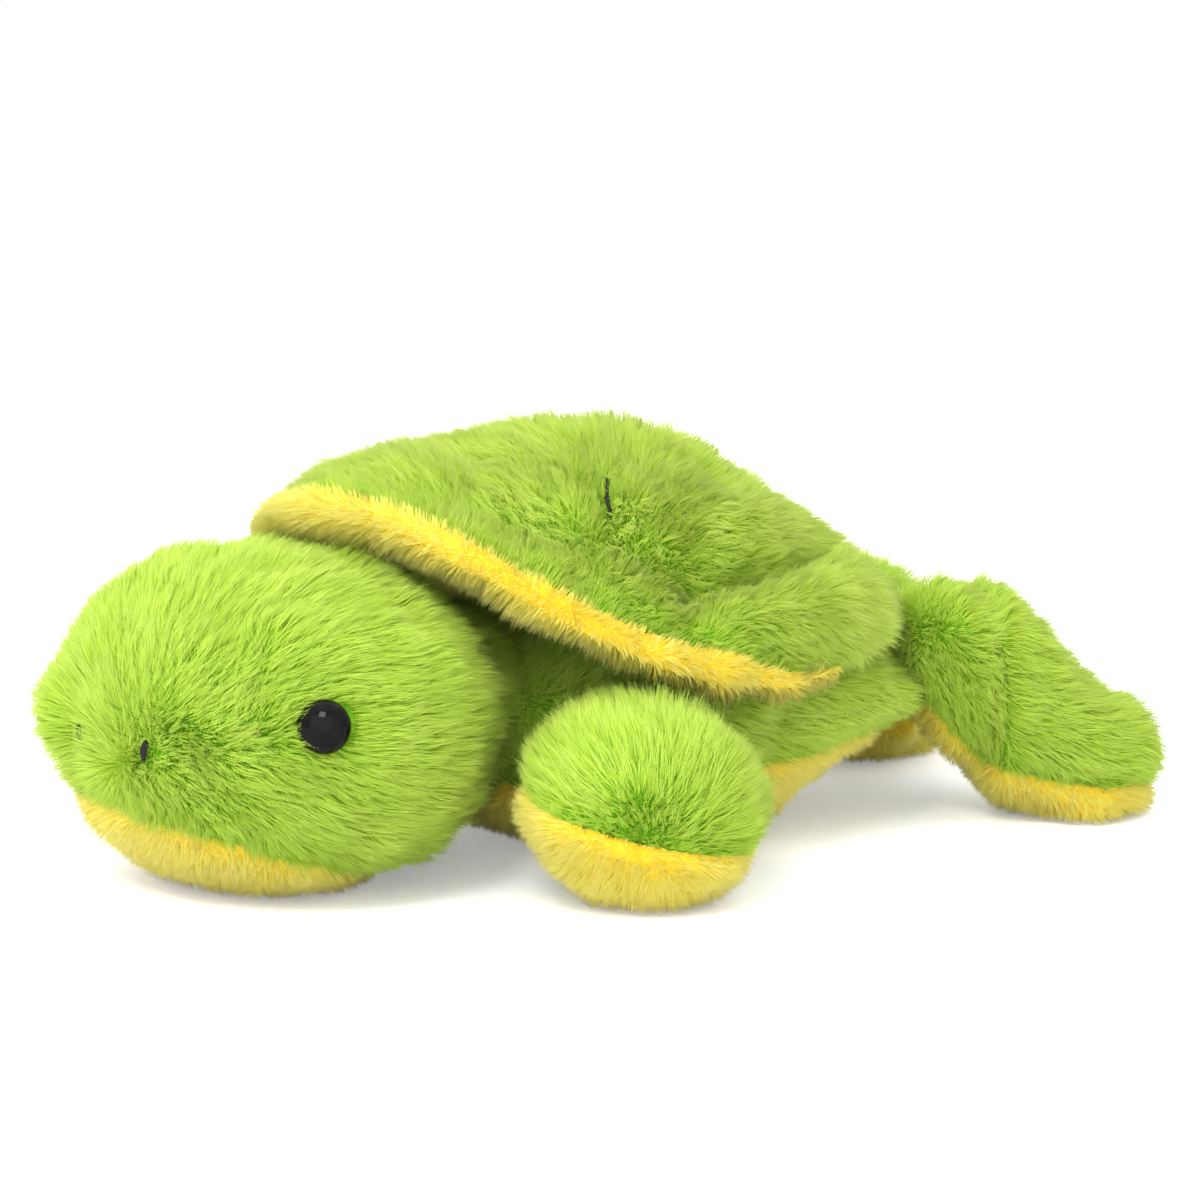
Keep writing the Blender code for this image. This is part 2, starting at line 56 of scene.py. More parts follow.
GREEN_DEPTH, YELLOW_DEPTH, LIP_DEPTH = 4.2 * MM, 2.4 * MM, 1.0 * MM  # cloth inside its outline
FLOOR_GAP, OVERHEAD = 0.4 * MM, 0.3
TOUCH = 0.01 * MM
TINY = 1e-9
SKEW = 0.31, 0.22, 0.92  # a direction that runs along nothing in the scene
AHEAD, SIDEWAYS, UPWARD = np.eye(3)

TOWARD = Vector((
    math.sin(AZIMUTH) * math.cos(ELEVATION),
    -math.cos(AZIMUTH) * math.cos(ELEVATION),
    math.sin(ELEVATION),
))
RIGHT = Vector((0, 0, 1)).cross(TOWARD).normalized()
UP = TOWARD.cross(RIGHT)


def seen(pixel, surface):
    """The place on a surface that shows at this pixel of the photograph."""
    across = (pixel[0] - PHOTO_SIDE / 2) / PHOTO_SIDE * SENSOR / LENS
    above = (PHOTO_SIDE / 2 - pixel[1]) / PHOTO_SIDE * SENSOR / LENS
    ray = (RIGHT * across + UP * above - TOWARD).normalized()
    start = AIM + TOWARD * DISTANCE
    hit = surface.ray_cast(start, ray)[0]
    if hit is None:
        hit = surface.find_nearest(start + ray * DISTANCE)[0]
    return np.array(hit)


# Outlines, as in the solids


def turn_about(axis, degrees):
    return np.array(Matrix.Rotation(math.radians(degrees), 3, axis))


SHELL_MID = np.array((-0.3, 3.0, 0.0)) * MM
TORSO_SIZE = np.array((104, 136, 65)) * MM
TORSO_MID = SHELL_MID + np.array((0, 23, 30.3)) * MM
TORSO_TURN = turn_about("X", 1) @ turn_about("Y", -1.5)
TORSO_FULLNESS, CHEST_FULLNESS = 2.2, 2.0
BACK_NARROWED, BACK_LOWERED = 0.12, 0.58
BELLY_LIFT, LIFT_TURN, LIFT_DEPTH = 5 * MM, 0.40, 9 * MM
HEAD_SIZE = np.array((109, 95, 81)) * MM
HEAD_MID = SHELL_MID + np.array((20, -94, 39)) * MM
HEAD_TURN = turn_about("Z", 17)
HEAD_FULLNESS = 2.2
NECK_MID = SHELL_MID + np.array((4, -47, 34)) * MM
NECK_RADIUS = 27 * MM
SHELL_SIZE = np.array((144, 157)) * MM
SHELL_AHEAD, CROWN, LIP = 6.3 * MM, 18 * MM, 11.5 * MM
CROWN_FULLNESS, LIP_FULLNESS = 2.0, 3.4
CROWN_LEVEL, CROWN_DROP = 82.5, 8  # millimetres: its middle, and the fall at the back
SEAT_GAP = 1.6 * MM
RIM_LEVEL, RIM_AHEAD, RIM_ENDS = 57.0, 10.5, 7.5  # millimetres, how the rim goes up and down
RIM_SIDE, SIDE_BEARING, SIDE_SPREAD = 17.0, math.radians(32), math.radians(30)
BAND_RISE = 4.0 * MM  # how far the yellow lip is drawn up over the widest line
BAND_FALL = 12.0 * MM  # how far that seam drops again at the rear
BAND_TURN, BAND_TURNED = 92, 46  # degrees: where it begins to drop, and over how much
LOBE_FULLNESS, LOBE_JOIN = 2.3, 4  # of a limb's foot, and of how it grows out of its root


def torso_shape(unit):
    chest = np.maximum(-unit[:, 2], 0) * np.maximum(-unit[:, 1], 0)
    fullness = TORSO_FULLNESS + CHEST_FULLNESS * chest
    reach = (np.abs(unit) ** fullness[:, None]).sum(1) ** (1 / fullness)
    p = unit / reach[:, None] * TORSO_SIZE / 2
    back = np.maximum(p[:, 1] / (TORSO_SIZE[1] / 2), 0)
    p[:, 0] *= 1 - BACK_NARROWED * back
    p[:, 2] *= 1 - BACK_LOWERED * back
    p[:, 2] += BELLY_LIFT * eased(back / LIFT_TURN) * eased(-p[:, 2] / LIFT_DEPTH)
    p = p @ TORSO_TURN.T + TORSO_MID
    p[:, 2] = np.maximum(p[:, 2], 0)
    return p


def on_torso(shares, side=1):
    place = np.array((side * shares[0], shares[1], shares[2])) * TORSO_SIZE / 2
    return TORSO_TURN @ place + TORSO_MID


def head_shape(unit):
    reach = (np.abs(unit) ** HEAD_FULLNESS).sum(1) ** (1 / HEAD_FULLNESS)
    out = unit / reach[:, None] * HEAD_SIZE / 2 @ HEAD_TURN.T
    length = np.linalg.norm(out, axis=1)
    way = out / length[:, None]
    to_neck = NECK_MID - HEAD_MID
    along = way @ to_neck
    room = NECK_RADIUS**2 - (to_neck @ to_neck - along**2)
    neck = np.where((along > 0) & (room > 0), along + np.sqrt(np.maximum(room, 0)), 0)
    p = HEAD_MID + way * np.maximum(length, neck)[:, None]
    p[:, 2] = np.maximum(p[:, 2], 0)
    return p


def rim_height(x, y):
    bearing = np.arctan2(x - SHELL_MID[0], SHELL_MID[1] - SHELL_AHEAD - y)
    height = RIM_LEVEL + RIM_AHEAD * np.cos(bearing) + RIM_ENDS * np.cos(2 * bearing)
    spread = (bearing - SIDE_BEARING) / SIDE_SPREAD
    return (height + RIM_SIDE * np.exp(-(spread**2) / 2)) * MM


def shell_shape(unit, torso):
    fullness = np.where(unit[:, 2] >= 0, CROWN_FULLNESS, LIP_FULLNESS)
    across = np.hypot(unit[:, 0], unit[:, 1])
    reach = (across**fullness + np.abs(unit[:, 2]) ** fullness) ** (1 / fullness)
    p = unit / reach[:, None]
    p[:, :2] *= SHELL_SIZE / 2
    p[:, 2] *= np.where(unit[:, 2] >= 0, CROWN, LIP)
    share = np.hypot(p[:, 0] / (SHELL_SIZE[0] / 2), p[:, 1] / (SHELL_SIZE[1] / 2))
    lip = (1 - np.minimum(share, 1) ** LIP_FULLNESS) ** (1 / LIP_FULLNESS)
    back = np.maximum(p[:, 1] / (SHELL_SIZE[1] / 2), 0)
    middle = (CROWN_LEVEL - CROWN_DROP * back**2) * MM
    p[:, :2] += SHELL_MID[:2] - np.array((0, SHELL_AHEAD))
    level = middle + share**2 * (rim_height(p[:, 0], p[:, 1]) - middle)
    for i, (x, y) in enumerate(p[:, :2]):
        hit = torso.ray_cast(Vector((x, y, OVERHEAD)), Vector((0, 0, -1)))[0]
        if hit is not None:
            level[i] = max(level[i], hit.z + SEAT_GAP + LIP * lip[i])
    p[:, 2] += level
    return p


def eased(share):
    share = np.clip(share, 0, 1)
    return share * share * (3 - 2 * share)


def bell(values, width, centre=0.0):
    """1 at the centre, falling off smoothly over about this width."""
    return np.exp(-(((values - centre) / width) ** 2))


def band_rise(unit):
    bearing = np.degrees(np.abs(np.arctan2(unit[:, 0], -unit[:, 1])))
    return BAND_RISE - BAND_FALL * eased((bearing - BAND_TURN) / BAND_TURNED)


def limb_shape(unit, root, radius, reach, size, settle, bearing, roll):
    length, width, height = size
    tip = reach + length / 2
    along = (tip - radius) / 2 + unit[:, 2] * (tip + radius) / 2
    ball = np.sqrt(np.maximum(1 - (along / radius) ** 2, 0)) * radius
    past = np.minimum(np.abs(along - reach) / (length / 2), 1)
    lobe = (1 - past**LOBE_FULLNESS) ** (1 / LOBE_FULLNESS)
    grown = eased(2 * along / radius)
    wide = (ball**LOBE_JOIN + (lobe * width / 2 * grown) ** LOBE_JOIN) ** (1 / LOBE_JOIN)
    high = (ball**LOBE_JOIN + (lobe * height / 2 * grown) ** LOBE_JOIN) ** (1 / LOBE_JOIN)
    across = unit[:, :2] / np.maximum(np.linalg.norm(unit[:, :2], axis=1), TINY)[:, None]
    p = np.stack((along, across[:, 1] * wide, -across[:, 0] * high), 1)
    start, end, drop = settle
    sink = drop * eased((along - start) / (end - start))
    p = p @ (turn_about("Z", bearing) @ turn_about("X", roll)).T + root
    p[:, 2] = np.maximum(p[:, 2] - sink, 0)
    return p


# Stuffed forms: an outline, the cloth inside it, and what the pile needs to know of each place


def lengths(v):
    return np.linalg.norm(v, axis=-1)


def unit_vectors(v):
    return v / np.maximum(lengths(v), TINY)[..., None]


def vertex_normals(points, faces):
    a, b, c = (points[faces[:, i]] for i in range(3))
    flat = np.cross(b - a, c - a)
    total = np.zeros_like(points)
    for i in range(3):
        np.add.at(total, faces[:, i], flat)
    return unit_vectors(total)


WAVE_SPREAD = 0.6, 1.4


def waves(points, size, rng, terms=14):
    """A smooth random value of about -1 to 1 at each place, in patches of this size."""
    way = unit_vectors(rng.normal(size=(terms, 3)))
    way *= 2 * math.pi / size * rng.uniform(*WAVE_SPREAD, (terms, 1))
    phase = rng.uniform(0, 2 * math.pi, terms)
    return np.sin(points @ way.T + phase).sum(1) / math.sqrt(terms)


def corners_of(form):
    return np.array([v.co for v in form.verts])


def cut_by_plane(form, point, normal, climb):
    """Cut along a plane that is bent upward by a height for each place."""
    places = corners_of(form)
    for v, lift in zip(form.verts, climb(places)):
        v.co.z -= lift
    whole = form.verts[:] + form.edges[:] + form.faces[:]
    bmesh.ops.bisect_plane(form, geom=whole, plane_co=Vector(point), plane_no=Vector(normal))
    bmesh.ops.triangulate(form, faces=form.faces)
    flat = corners_of(form)
    for v, lift in zip(form.verts, climb(flat)):
        v.co.z += lift
    return (flat - np.array(point)) @ np.array(normal)


def no_climb(places):
    return np.zeros(len(places))


def rim_climb(unit):
    rise = band_rise(unit)
    return rise / np.where(rise >= 0, CROWN, LIP)


def off_line(points, line):
    """The shortest way to each place from a line of points."""
    best = points - line[0]
    for a, b in zip(line, line[1:]):
        along = b - a
        share = np.clip((points - a) @ along / max(along @ along, 1e-12), 0, 1)
        way = points - a - share[:, None] * along
        best = np.where((lengths(way) < lengths(best))[:, None], way, best)
    return best


MOST_CROSSINGS = 12


def holds(tree, place):
    """Whether a closed surface has this place inside it, by how often a ray leaves it."""
    way = Vector(SKEW).normalized()
    start, crossings = place.copy(), 0
    for _ in range(MOST_CROSSINGS):
        hit = tree.ray_cast(start, way)[0]
        if hit is None:
            break
        crossings += 1
        start = hit + way * TOUCH
    return crossings % 2 == 1


SEAM_STEP, SEAM_STEPPED = 1 * MM, 5 * MM  # where the yellow depth turns into the green one
SEAM_TUCK, SEAM_TUCK_WIDTH = 1.2 * MM, 2.2 * MM  # how far a seam draws the cloth in
NO_SEAM = 20 * MM  # how far off a seam counts as, without one
UNEVEN, UNEVEN_SIZE = 0.5 * MM, 17 * MM  # the unevenness of hand filling
BARE_WIDTH = 1.0 * MM
LEAST_CLOTH, LEAST_BACKING = 1.0 * MM, 1.2 * MM  # heights over the floor
NEIGHBOUR_REACH, PRESSED_GAP, BARE_GAP = 16 * MM, 5 * MM, 1.5 * MM
PRESSED_COVER = 0.6


def crease(line, radius, deep, dark=0.0, part=0.0):
    """A line of pixels to sink the cloth along, in millimetres, and to paint shade on its pile;
    from a painted shade of 1 on it is a slit.
    """
    return line, radius * MM, deep * MM, dark, part * MM


class Form:
    """One stuffed body part: its outline, its cloth, and what its pile needs to know."""

    def __init__(self, name, body, shape, level, seam=None, creases=(), flow=None, long=()):
        self.name, self.body, self.flow, self.sewn = name, body, flow, seam is not None
        shell = seam == "rim"
        form = bmesh.new()
        bmesh.ops.create_icosphere(form, subdivisions=level, radius=1)
        if shell:
            cut_by_plane(form, (0, 0, 0), (0, 0, 1), rim_climb)
        unit = corners_of(form)
        outer = shape(unit)
        if shell:
            side = unit[:, 2] * np.where(unit[:, 2] >= 0, CROWN, LIP) - band_rise(unit)
            side[abs(side) < TOUCH] = 0
        if seam is not None and not shell:
            for v, place in zip(form.verts, outer):
                v.co = place
            side = cut_by_plane(form, *seam)
            outer = corners_of(form)
        if seam is None:
            side = np.full(len(outer), NO_SEAM)
        form.verts.index_update()
        self.faces = np.array([[v.index for v in f.verts] for f in form.faces])
        form.free()
        self.outer, self.side = outer, side
        self.normal = vertex_normals(outer, self.faces)
        self.tree = BVHTree.FromPolygons(outer.tolist(), self.faces.tolist())
        self.make_cloth(creases)
        self.gain = np.ones(len(outer))
        for pixel, radius, gain in long:
            far = lengths(outer - seen(pixel, self.tree))
            self.gain += gain * bell(far, radius)

    def make_cloth(self, creases):
        share = eased((self.side + SEAM_STEP) / SEAM_STEPPED)
        yellow = LIP_DEPTH if self.name == "shell" else YELLOW_DEPTH
        depth = yellow + (GREEN_DEPTH - yellow) * share
        if self.sewn:
            depth += SEAM_TUCK * bell(self.side, SEAM_TUCK_WIDTH)
        self.dark = np.zeros(len(self.outer))
        self.parting = np.zeros((len(self.outer), 3))
        self.bare = np.zeros(len(self.outer))
        self.slits = []
        hollow, pillow = np.zeros(len(self.outer)), np.zeros(len(self.outer))
        for pixels, radius, deep, dark, part in creases:
            way = off_line(self.outer, [seen(pixel, self.tree) for pixel in pixels])
            far = lengths(way)
            near = bell(far, radius)
            hollow = np.maximum(hollow, deep * near)
            pillow = np.minimum(pillow, deep * near)
            # The painted shade that a crease puts on the pile
            self.dark = np.maximum(self.dark, dark * near)
            self.parting += unit_vectors(way) * (part * near)[:, None]
            if dark >= 1:
                self.bare = np.maximum(self.bare, bell(far, BARE_WIDTH))
                self.slits.append([seen(pixel, self.tree) for pixel in pixels])
        rng = np.random.default_rng(len(self.outer))
        depth += hollow + pillow + UNEVEN * waves(self.outer, UNEVEN_SIZE, rng)
        self.cloth = self.outer - self.normal * depth[:, None]
        self.cloth[:, 2] = np.maximum(self.cloth[:, 2], LEAST_CLOTH)
        self.normal = vertex_normals(self.cloth, self.faces)
        self.skin = BVHTree.FromPolygons(self.cloth.tolist(), self.faces.tolist())

    def meet(self):
        """How open each face is: 0 inside or against another form, 1 in the open."""
        middle = self.cloth[self.faces].mean(1)
        facing = unit_vectors(self.normal[self.faces].sum(1))
        self.cover = np.ones(len(middle))
        self.near = np.zeros(len(middle), bool)
        for i, (p, n) in enumerate(zip(middle, facing)):
            place, way = Vector(p), Vector(n)
            for other in self.others:
                hit, outward = other.skin.find_nearest(place, NEIGHBOUR_REACH)[:2]
                if hit is None:
                    continue
                self.near[i] = True
                if (place - hit).dot(outward) < 0 and holds(other.skin, place):
                    self.cover[i] = 0
                    break
                blocked = other.skin.ray_cast(place, way, PRESSED_GAP)[3]
                if blocked is not None:
                    open_share = 0.0 if blocked < BARE_GAP else PRESSED_COVER
                    self.cover[i] = min(self.cover[i], open_share)


# Pile: fine tapering fibres of real mesh, gathered into tufts

FIBRE_LIMIT = 198_000  # triangles in one piece
STRAIGHT_FACES, BENT_FACES = 3, 9  # triangles in one fibre
FEWEST_FIBRES, FEWEST_TUFTS = 8, 4
WHORL = 0.45  # how soon a flow fades where it comes straight out
LOCKS = (0.55, 21 * MM), (0.45, 7 * MM)  # shares of the roughness, in patches of these sizes
TUFT_STRAY, FIBRE_STRAY = 0.50, 0.30  # its shares from tuft to tuft and fibre to fibre
LEAST_RISE = 0.35
DARK_LEAN, SEAM_LEAN = 0.4, 0.65  # what the lean loses where a crease paints shade, and at a seam
DARK_SHORT, SEAM_SHORT = 0.25, 0.45  # and what the length loses
PATCH_LENGTH, PATCH_SIZE = 0.10, 12 * MM
TUFT_LENGTH, FIBRE_LENGTHS, FIBRE_WIDTHS = 0.07, (0.72, 1.08), (0.75, 1.2)
GATHERED = 0.4, 1.0
SLIT_HALF, SLIT_REACH = 0.9 * MM, 12 * MM
TONE, TONE_ENDS = 0.55, (0.02, 0.98)
PATCH_TONE, TONE_SIZE, TUFT_TONE, FIBRE_TONE = 0.10, 15 * MM, 0.06, 0.07
# How far the painted shade of a crease lowers the pile's tone
PAINTED_SHADE_TONE, SEAM_TONE_WIDTH = 0.5, 3 * MM
ROOT_DEPTH = 0.4  # millimetres below the cloth
SHORTEST, STOP_SHORT = 1.2 * MM, 0.85  # a fibre that meets another form ends before it
BOW = 0.5
BENT_WIDTH, BENT_LEVEL = 0.8, 0.5  # a bent fibre at its middle
ROOT_LEVEL, TIP_LEVEL = 0.01, 0.99
MAP_WIDTH = 0.006
OWN_SHARE = 0.45  # how far a fibre shades by its own roundness, and not by its cloth's


# What sets one kind of pile apart: fibres per square metre, lengths in metres
Pile = namedtuple("Pile", "density length width lean rough tuft pull bent edge seam_tone")


def strands(form, chosen, pile, rng, tone_shift):
    """Grow fibres on the chosen faces of a form."""
    faces = form.faces[chosen]
    corners = form.cloth[faces]
    size = lengths(np.cross(corners[:, 1] - corners[:, 0], corners[:, 2] - corners[:, 0])) / 2
    weight = size * form.cover[chosen]
    share = 1.0
    count = int(weight.sum() * pile.density * share)
    if count < FEWEST_FIBRES:
        return None
    pick = rng.choice(len(faces), count, p=weight / weight.sum())
    mix = rng.random((count, 2))
    over = mix.sum(1) > 1
    mix[over] = 1 - mix[over]
    mix = np.column_stack((1 - mix.sum(1), mix))

    def at(values):
        spread = mix if values.ndim == 1 else mix[:, :, None]
        return (values[faces[pick]] * spread).sum(1)

    root, normal = at(form.cloth), unit_vectors(at(form.normal))
    dark, side, gain = at(form.dark), np.abs(at(form.side)), at(form.gain)
    edge = eased(side / pile.edge)
    flow = form.flow(root)
    flow = flow - normal * (flow * normal).sum(1)[:, None]
    flow /= np.maximum(lengths(flow), WHORL)[:, None]
    tufts = int(count * min(1.0, 1 / (pile.tuft**2 * pile.density * share)))
    tufts = max(tufts, FEWEST_TUFTS)
    heads = rng.choice(count, tufts, replace=False)
    tree = KDTree(tufts)
    for i, h in enumerate(heads):
        tree.insert(root[h], i)
    tree.balance()
    tuft = np.array([tree.find(p)[1] for p in root])

    lean = pile.lean * (1 - DARK_LEAN * dark) * (1 - SEAM_LEAN + SEAM_LEAN * edge)
    way = normal + flow * lean[:, None]
    for stray, patch in LOCKS:
        way += pile.rough * stray * np.stack([waves(root, patch, rng) for _ in range(3)], 1)
    way += pile.rough * TUFT_STRAY * rng.normal(size=(tufts, 3))[tuft]
    way += pile.rough * FIBRE_STRAY * rng.normal(size=(count, 3))
    long = pile.length * (1 + PATCH_LENGTH * waves(root, PATCH_SIZE, rng))
    long *= (1 + TUFT_LENGTH * rng.normal(size=tufts))[tuft] * rng.uniform(*FIBRE_LENGTHS, count)
    long *= (1 - DARK_SHORT * dark) * (1 - SEAM_SHORT + SEAM_SHORT * edge) * gain
    rise = (way * normal).sum(1)
    way += normal * np.maximum(LEAST_RISE - rise, 0)[:, None]
    tip = root + unit_vectors(way) * long[:, None] + at(form.parting)
    if form is head:
        tip = part_round_eyes(root, tip)
    gather = pile.pull * rng.uniform(*GATHERED, count)[:, None]
    tip += (tip[heads][tuft] - tip) * gather
    for slit in form.slits:
        way = off_line(root, slit)
        near = lengths(way) < SLIT_REACH
        way = unit_vectors(way - normal * (way * normal).sum(1)[:, None])
        short = SLIT_HALF - (off_line(tip, slit) * way).sum(1)
        tip += way * (np.maximum(short, 0) * near)[:, None]
    tone = TONE + PATCH_TONE * waves(root, TONE_SIZE, rng)
    tone += TUFT_TONE * rng.normal(size=tufts)[tuft]
    # Painted shade: the tone drops along creases
    tone += FIBRE_TONE * rng.normal(size=count) - PAINTED_SHADE_TONE * dark + tone_shift
    tone -= pile.seam_tone * bell(side, SEAM_TONE_WIDTH)
    root -= normal * ROOT_DEPTH * MM
    keep = at(form.bare) < 0.5
    close = form.near[chosen][pick]
    for i in np.nonzero(close)[0]:
        start, reach = Vector(root[i]), Vector(tip[i] - root[i])
        for other in form.others:
            gap = other.skin.ray_cast(start, reach.normalized(), reach.length)[3]
            if gap is not None:
                if gap < SHORTEST:
                    keep[i] = False
                    break
                tip[i] = root[i] + (tip[i] - root[i]) * (STOP_SHORT * gap / reach.length)
    bow = root + normal * (lengths(tip - root) * BOW)[:, None]
    middle = root / 4 + bow / 2 + tip / 4
    for line in (root, middle, tip):
        line[:, 2] = np.maximum(line[:, 2], FLOOR_GAP)
    wide = pile.width * rng.uniform(*FIBRE_WIDTHS, count)
    turn = rng.normal(size=(count, 3))
    parts = (root, middle, tip, wide, np.clip(tone, *TONE_ENDS), turn, normal)
    return [part[keep] for part in parts]


def fibre_mesh(name, parts, bent):
    """Fibres as one mesh: a three-sided taper, in two lengths if it is bent."""
    root, middle, tip, wide, tone, turn, normal = parts
    axis = unit_vectors(tip - root)
    across = unit_vectors(np.cross(axis, turn))
    beside = np.cross(axis, across)
    rings = [(root, 1.0, ROOT_LEVEL)]
    if bent:
        rings.append((middle, BENT_WIDTH, BENT_LEVEL))
    points, along, shift, facing = [], [], [], []
    for centre, share, level in rings:
        for k in range(3):
            angle = 2 * math.pi * k / 3
            out = across * math.cos(angle) + beside * math.sin(angle)
            points.append(centre + out * (wide * share / 2)[:, None])
            facing.append(unit_vectors(normal + out * OWN_SHARE))
            along.append(level)
            shift.append((k - 1) * MAP_WIDTH)
    points.append(tip)
    facing.append(normal)
    along.append(TIP_LEVEL)
    shift.append(0.0)
    per = len(points)
    count = len(root)
    verts = np.stack(points, 1).reshape(-1, 3)
    level = np.tile(along, count)
    tones = np.repeat(tone, per)
    shifts = np.tile(shift, count)
    last, loops = per - 4, []
    for a in range(last):
        b = a // 3 * 3 + (a + 1) % 3
        loops += [a, b, b + 3, a + 3]
    for k in range(3):
        loops += [last + k, last + (k + 1) % 3, per - 1]
    sizes = [4] * last + [3] * 3
    corner = (np.array(loops)[None] + per * np.arange(count)[:, None]).reshape(-1)
    total = np.tile(sizes, count)
    start = np.concatenate(([0], np.cumsum(total)[:-1]))
    mesh = bpy.data.meshes.new(name)
    mesh.vertices.add(len(verts))
    mesh.vertices.foreach_set("co", verts.astype(np.float32).reshape(-1))
    mesh.loops.add(len(corner))
    mesh.loops.foreach_set("vertex_index", corner.astype(np.int32))
    mesh.polygons.add(len(total))
    mesh.polygons.foreach_set("loop_start", start.astype(np.int32))
    mesh.update(calc_edges=True)
    mesh.shade_smooth()
    mesh.normals_split_custom_set_from_vertices(np.stack(facing, 1).reshape(-1, 3))
    held = mesh.attributes.new("pile", "FLOAT_VECTOR", "POINT")
    value = np.stack((level, tones, np.zeros_like(level)), 1).astype(np.float32)
    held.data.foreach_set("vector", value.reshape(-1))
    layer = mesh.uv_layers.new(name="OFBake")
    place = np.stack(((tones + shifts)[corner], level[corner]), 1).astype(np.float32)
    layer.data.foreach_set("uv", place.reshape(-1))
    return mesh


def add_pile(name, form, parts, bent, material, slot, node):
    """Split fibres into pieces that stay under the limit of faces, from front to back."""
    if parts is None:
        return
    each = FIBRE_LIMIT // (BENT_FACES if bent else STRAIGHT_FACES)
    order = np.argsort(parts[0][:, 1], kind="stable")
    groups = np.array_split(order, max(math.ceil(len(order) / each), 1))
    for i, group in enumerate(groups):
        title = name if len(groups) == 1 else f"{name}_{i + 1}"
        mesh = fibre_mesh(title, [part[group] for part in parts], bent)
        mesh.materials.append(material)
        finish_piece(add_object(title, mesh), form.body, slot, node)


def add_object(name, data):
    made = bpy.data.objects.new(name, data)
    bpy.context.scene.collection.objects.link(made)
    return made


def add_solid(name, points, faces, material):
    mesh = bpy.data.meshes.new(name)
    mesh.from_pydata([tuple(p) for p in points], [], faces)
    mesh.materials.append(material)
    mesh.shade_smooth()
    return add_object(name, mesh)


def finish_piece(piece, body, slot, *nodes):
    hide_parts(*nodes)
    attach(piece, body)


# Materials

SHEEN, SHEEN_ROUGHNESS = 0.03, 0.45
KNIT_STRENGTH, KNIT_HEIGHT = 0.5, 0.3 * MM


def emptied(owner):
    owner.use_nodes = True
    owner.node_tree.nodes.clear()
    return owner.node_tree.nodes, owner.node_tree.links


def new_material(name, roughness, specular):
    made = bpy.data.materials.new(name)
    made.use_nodes = True
    nodes, links = made.node_tree.nodes, made.node_tree.links
    shader = nodes["Principled BSDF"]
    shader.inputs["Roughness"].default_value = roughness
    shader.inputs["Specular IOR Level"].default_value = specular
    return made, nodes, links, shader


def texture(nodes, links, kind, **values):
    """A texture in the piece's own space, with these values on its sockets."""
    made = nodes.new(kind)
    for field, value in values.items():
        made.inputs[field].default_value = value
    place = nodes.new("ShaderNodeTexCoord")
    links.new(place.outputs["Object"], made.inputs["Vector"])
    return made


def ramp(nodes, links, value, stops):
    made = nodes.new("ShaderNodeValToRGB")
    links.new(value, made.inputs["Fac"])
    points = made.color_ramp.elements
    while len(points) < len(stops):
        points.new(0.5)
    for point, (place, colour) in zip(points, stops):
        point.position = place
        point.color = (*colour, 1)
    return made.outputs["Color"]


def pile_material(name, deep, bright):
    """Colour from root to tip, the roots darker as painted shade between the fibres.

    A tone mixes a deeper and a brighter lot; it differs at random, and also carries painted shade
    in creases and painted light on the shell.
    """
    made, nodes, links, shader = new_material(name, roughness=0.62, specular=0.12)
    shader.inputs["Sheen Weight"].default_value = SHEEN
    shader.inputs["Sheen Roughness"].default_value = SHEEN_ROUGHNESS
    held = nodes.new("ShaderNodeAttribute")
    held.attribute_name = "pile"
    parts = nodes.new("ShaderNodeSeparateXYZ")
    links.new(held.outputs["Vector"], parts.inputs["Vector"])
    mix = nodes.new("ShaderNodeMix")
    mix.data_type = "RGBA"
    links.new(parts.outputs["Y"], mix.inputs["Factor"])
    for field, stops in (("A", deep), ("B", bright)):
        links.new(ramp(nodes, links, parts.outputs["X"], stops), mix.inputs[field])
    links.new(mix.outputs["Result"], shader.inputs["Base Color"])
    return made


def patterned(name, stops, roughness, specular, kind, **values):
    """A material whose colour runs through these stops, along a texture of this kind."""
    made, nodes, links, shader = new_material(name, roughness, specular)
    pattern = texture(nodes, links, kind, **values)
    colour = ramp(nodes, links, pattern.outputs["Fac"], stops)
    links.new(colour, shader.inputs["Base Color"])
    return made, nodes, links, shader, pattern


def cloth_material(name, low, high):
    """The backing between the fibres, with the rows of a knit."""
    stops = (0.3, low), (0.7, high)
    made, nodes, links, shader, _ = patterned(
        name, stops, 0.9, 0.15, "ShaderNodeTexNoise", Scale=900, Detail=4
    )
    knit = texture(nodes, links, "ShaderNodeTexWave", Scale=400, Distortion=3)
    bump = nodes.new("ShaderNodeBump")
    bump.inputs["Strength"].default_value = KNIT_STRENGTH
    bump.inputs["Distance"].default_value = KNIT_HEIGHT
    links.new(knit.outputs["Fac"], bump.inputs["Height"])
    links.new(bump.outputs["Normal"], shader.inputs["Normal"])
    return made


def root_to_tip(middle, *colours):
    return tuple(zip((0.0, middle, 1.0), colours))


# Root to tip: the darker roots are painted shade between the fibres
GREEN_DEEP = root_to_tip(0.45, (0.210, 0.440, 0.012), (0.330, 0.560, 0.026), (0.420, 0.640, 0.055))
GREEN_BRIGHT = root_to_tip(0.45, (0.320, 0.540, 0.024), (0.480, 0.675, 0.055), (0.625, 0.780, 0.175))
YELLOW_DEEP = root_to_tip(0.5, (0.945, 0.710, 0.055), (0.975, 0.810, 0.085), (0.990, 0.875, 0.150))
YELLOW_BRIGHT = root_to_tip(0.5, (0.955, 0.760, 0.065), (0.988, 0.890, 0.180), (0.998, 0.955, 0.370))
EYE_TONES = (0.35, (0.002, 0.002, 0.003)), (0.75, (0.006, 0.005, 0.005))
THREAD_TONES = (0.2, (0.004, 0.004, 0.004)), (0.8, (0.03, 0.028, 0.026))
green_pile = pile_material("green_pile", GREEN_DEEP, GREEN_BRIGHT)
yellow_pile = pile_material("yellow_pile", YELLOW_DEEP, YELLOW_BRIGHT)
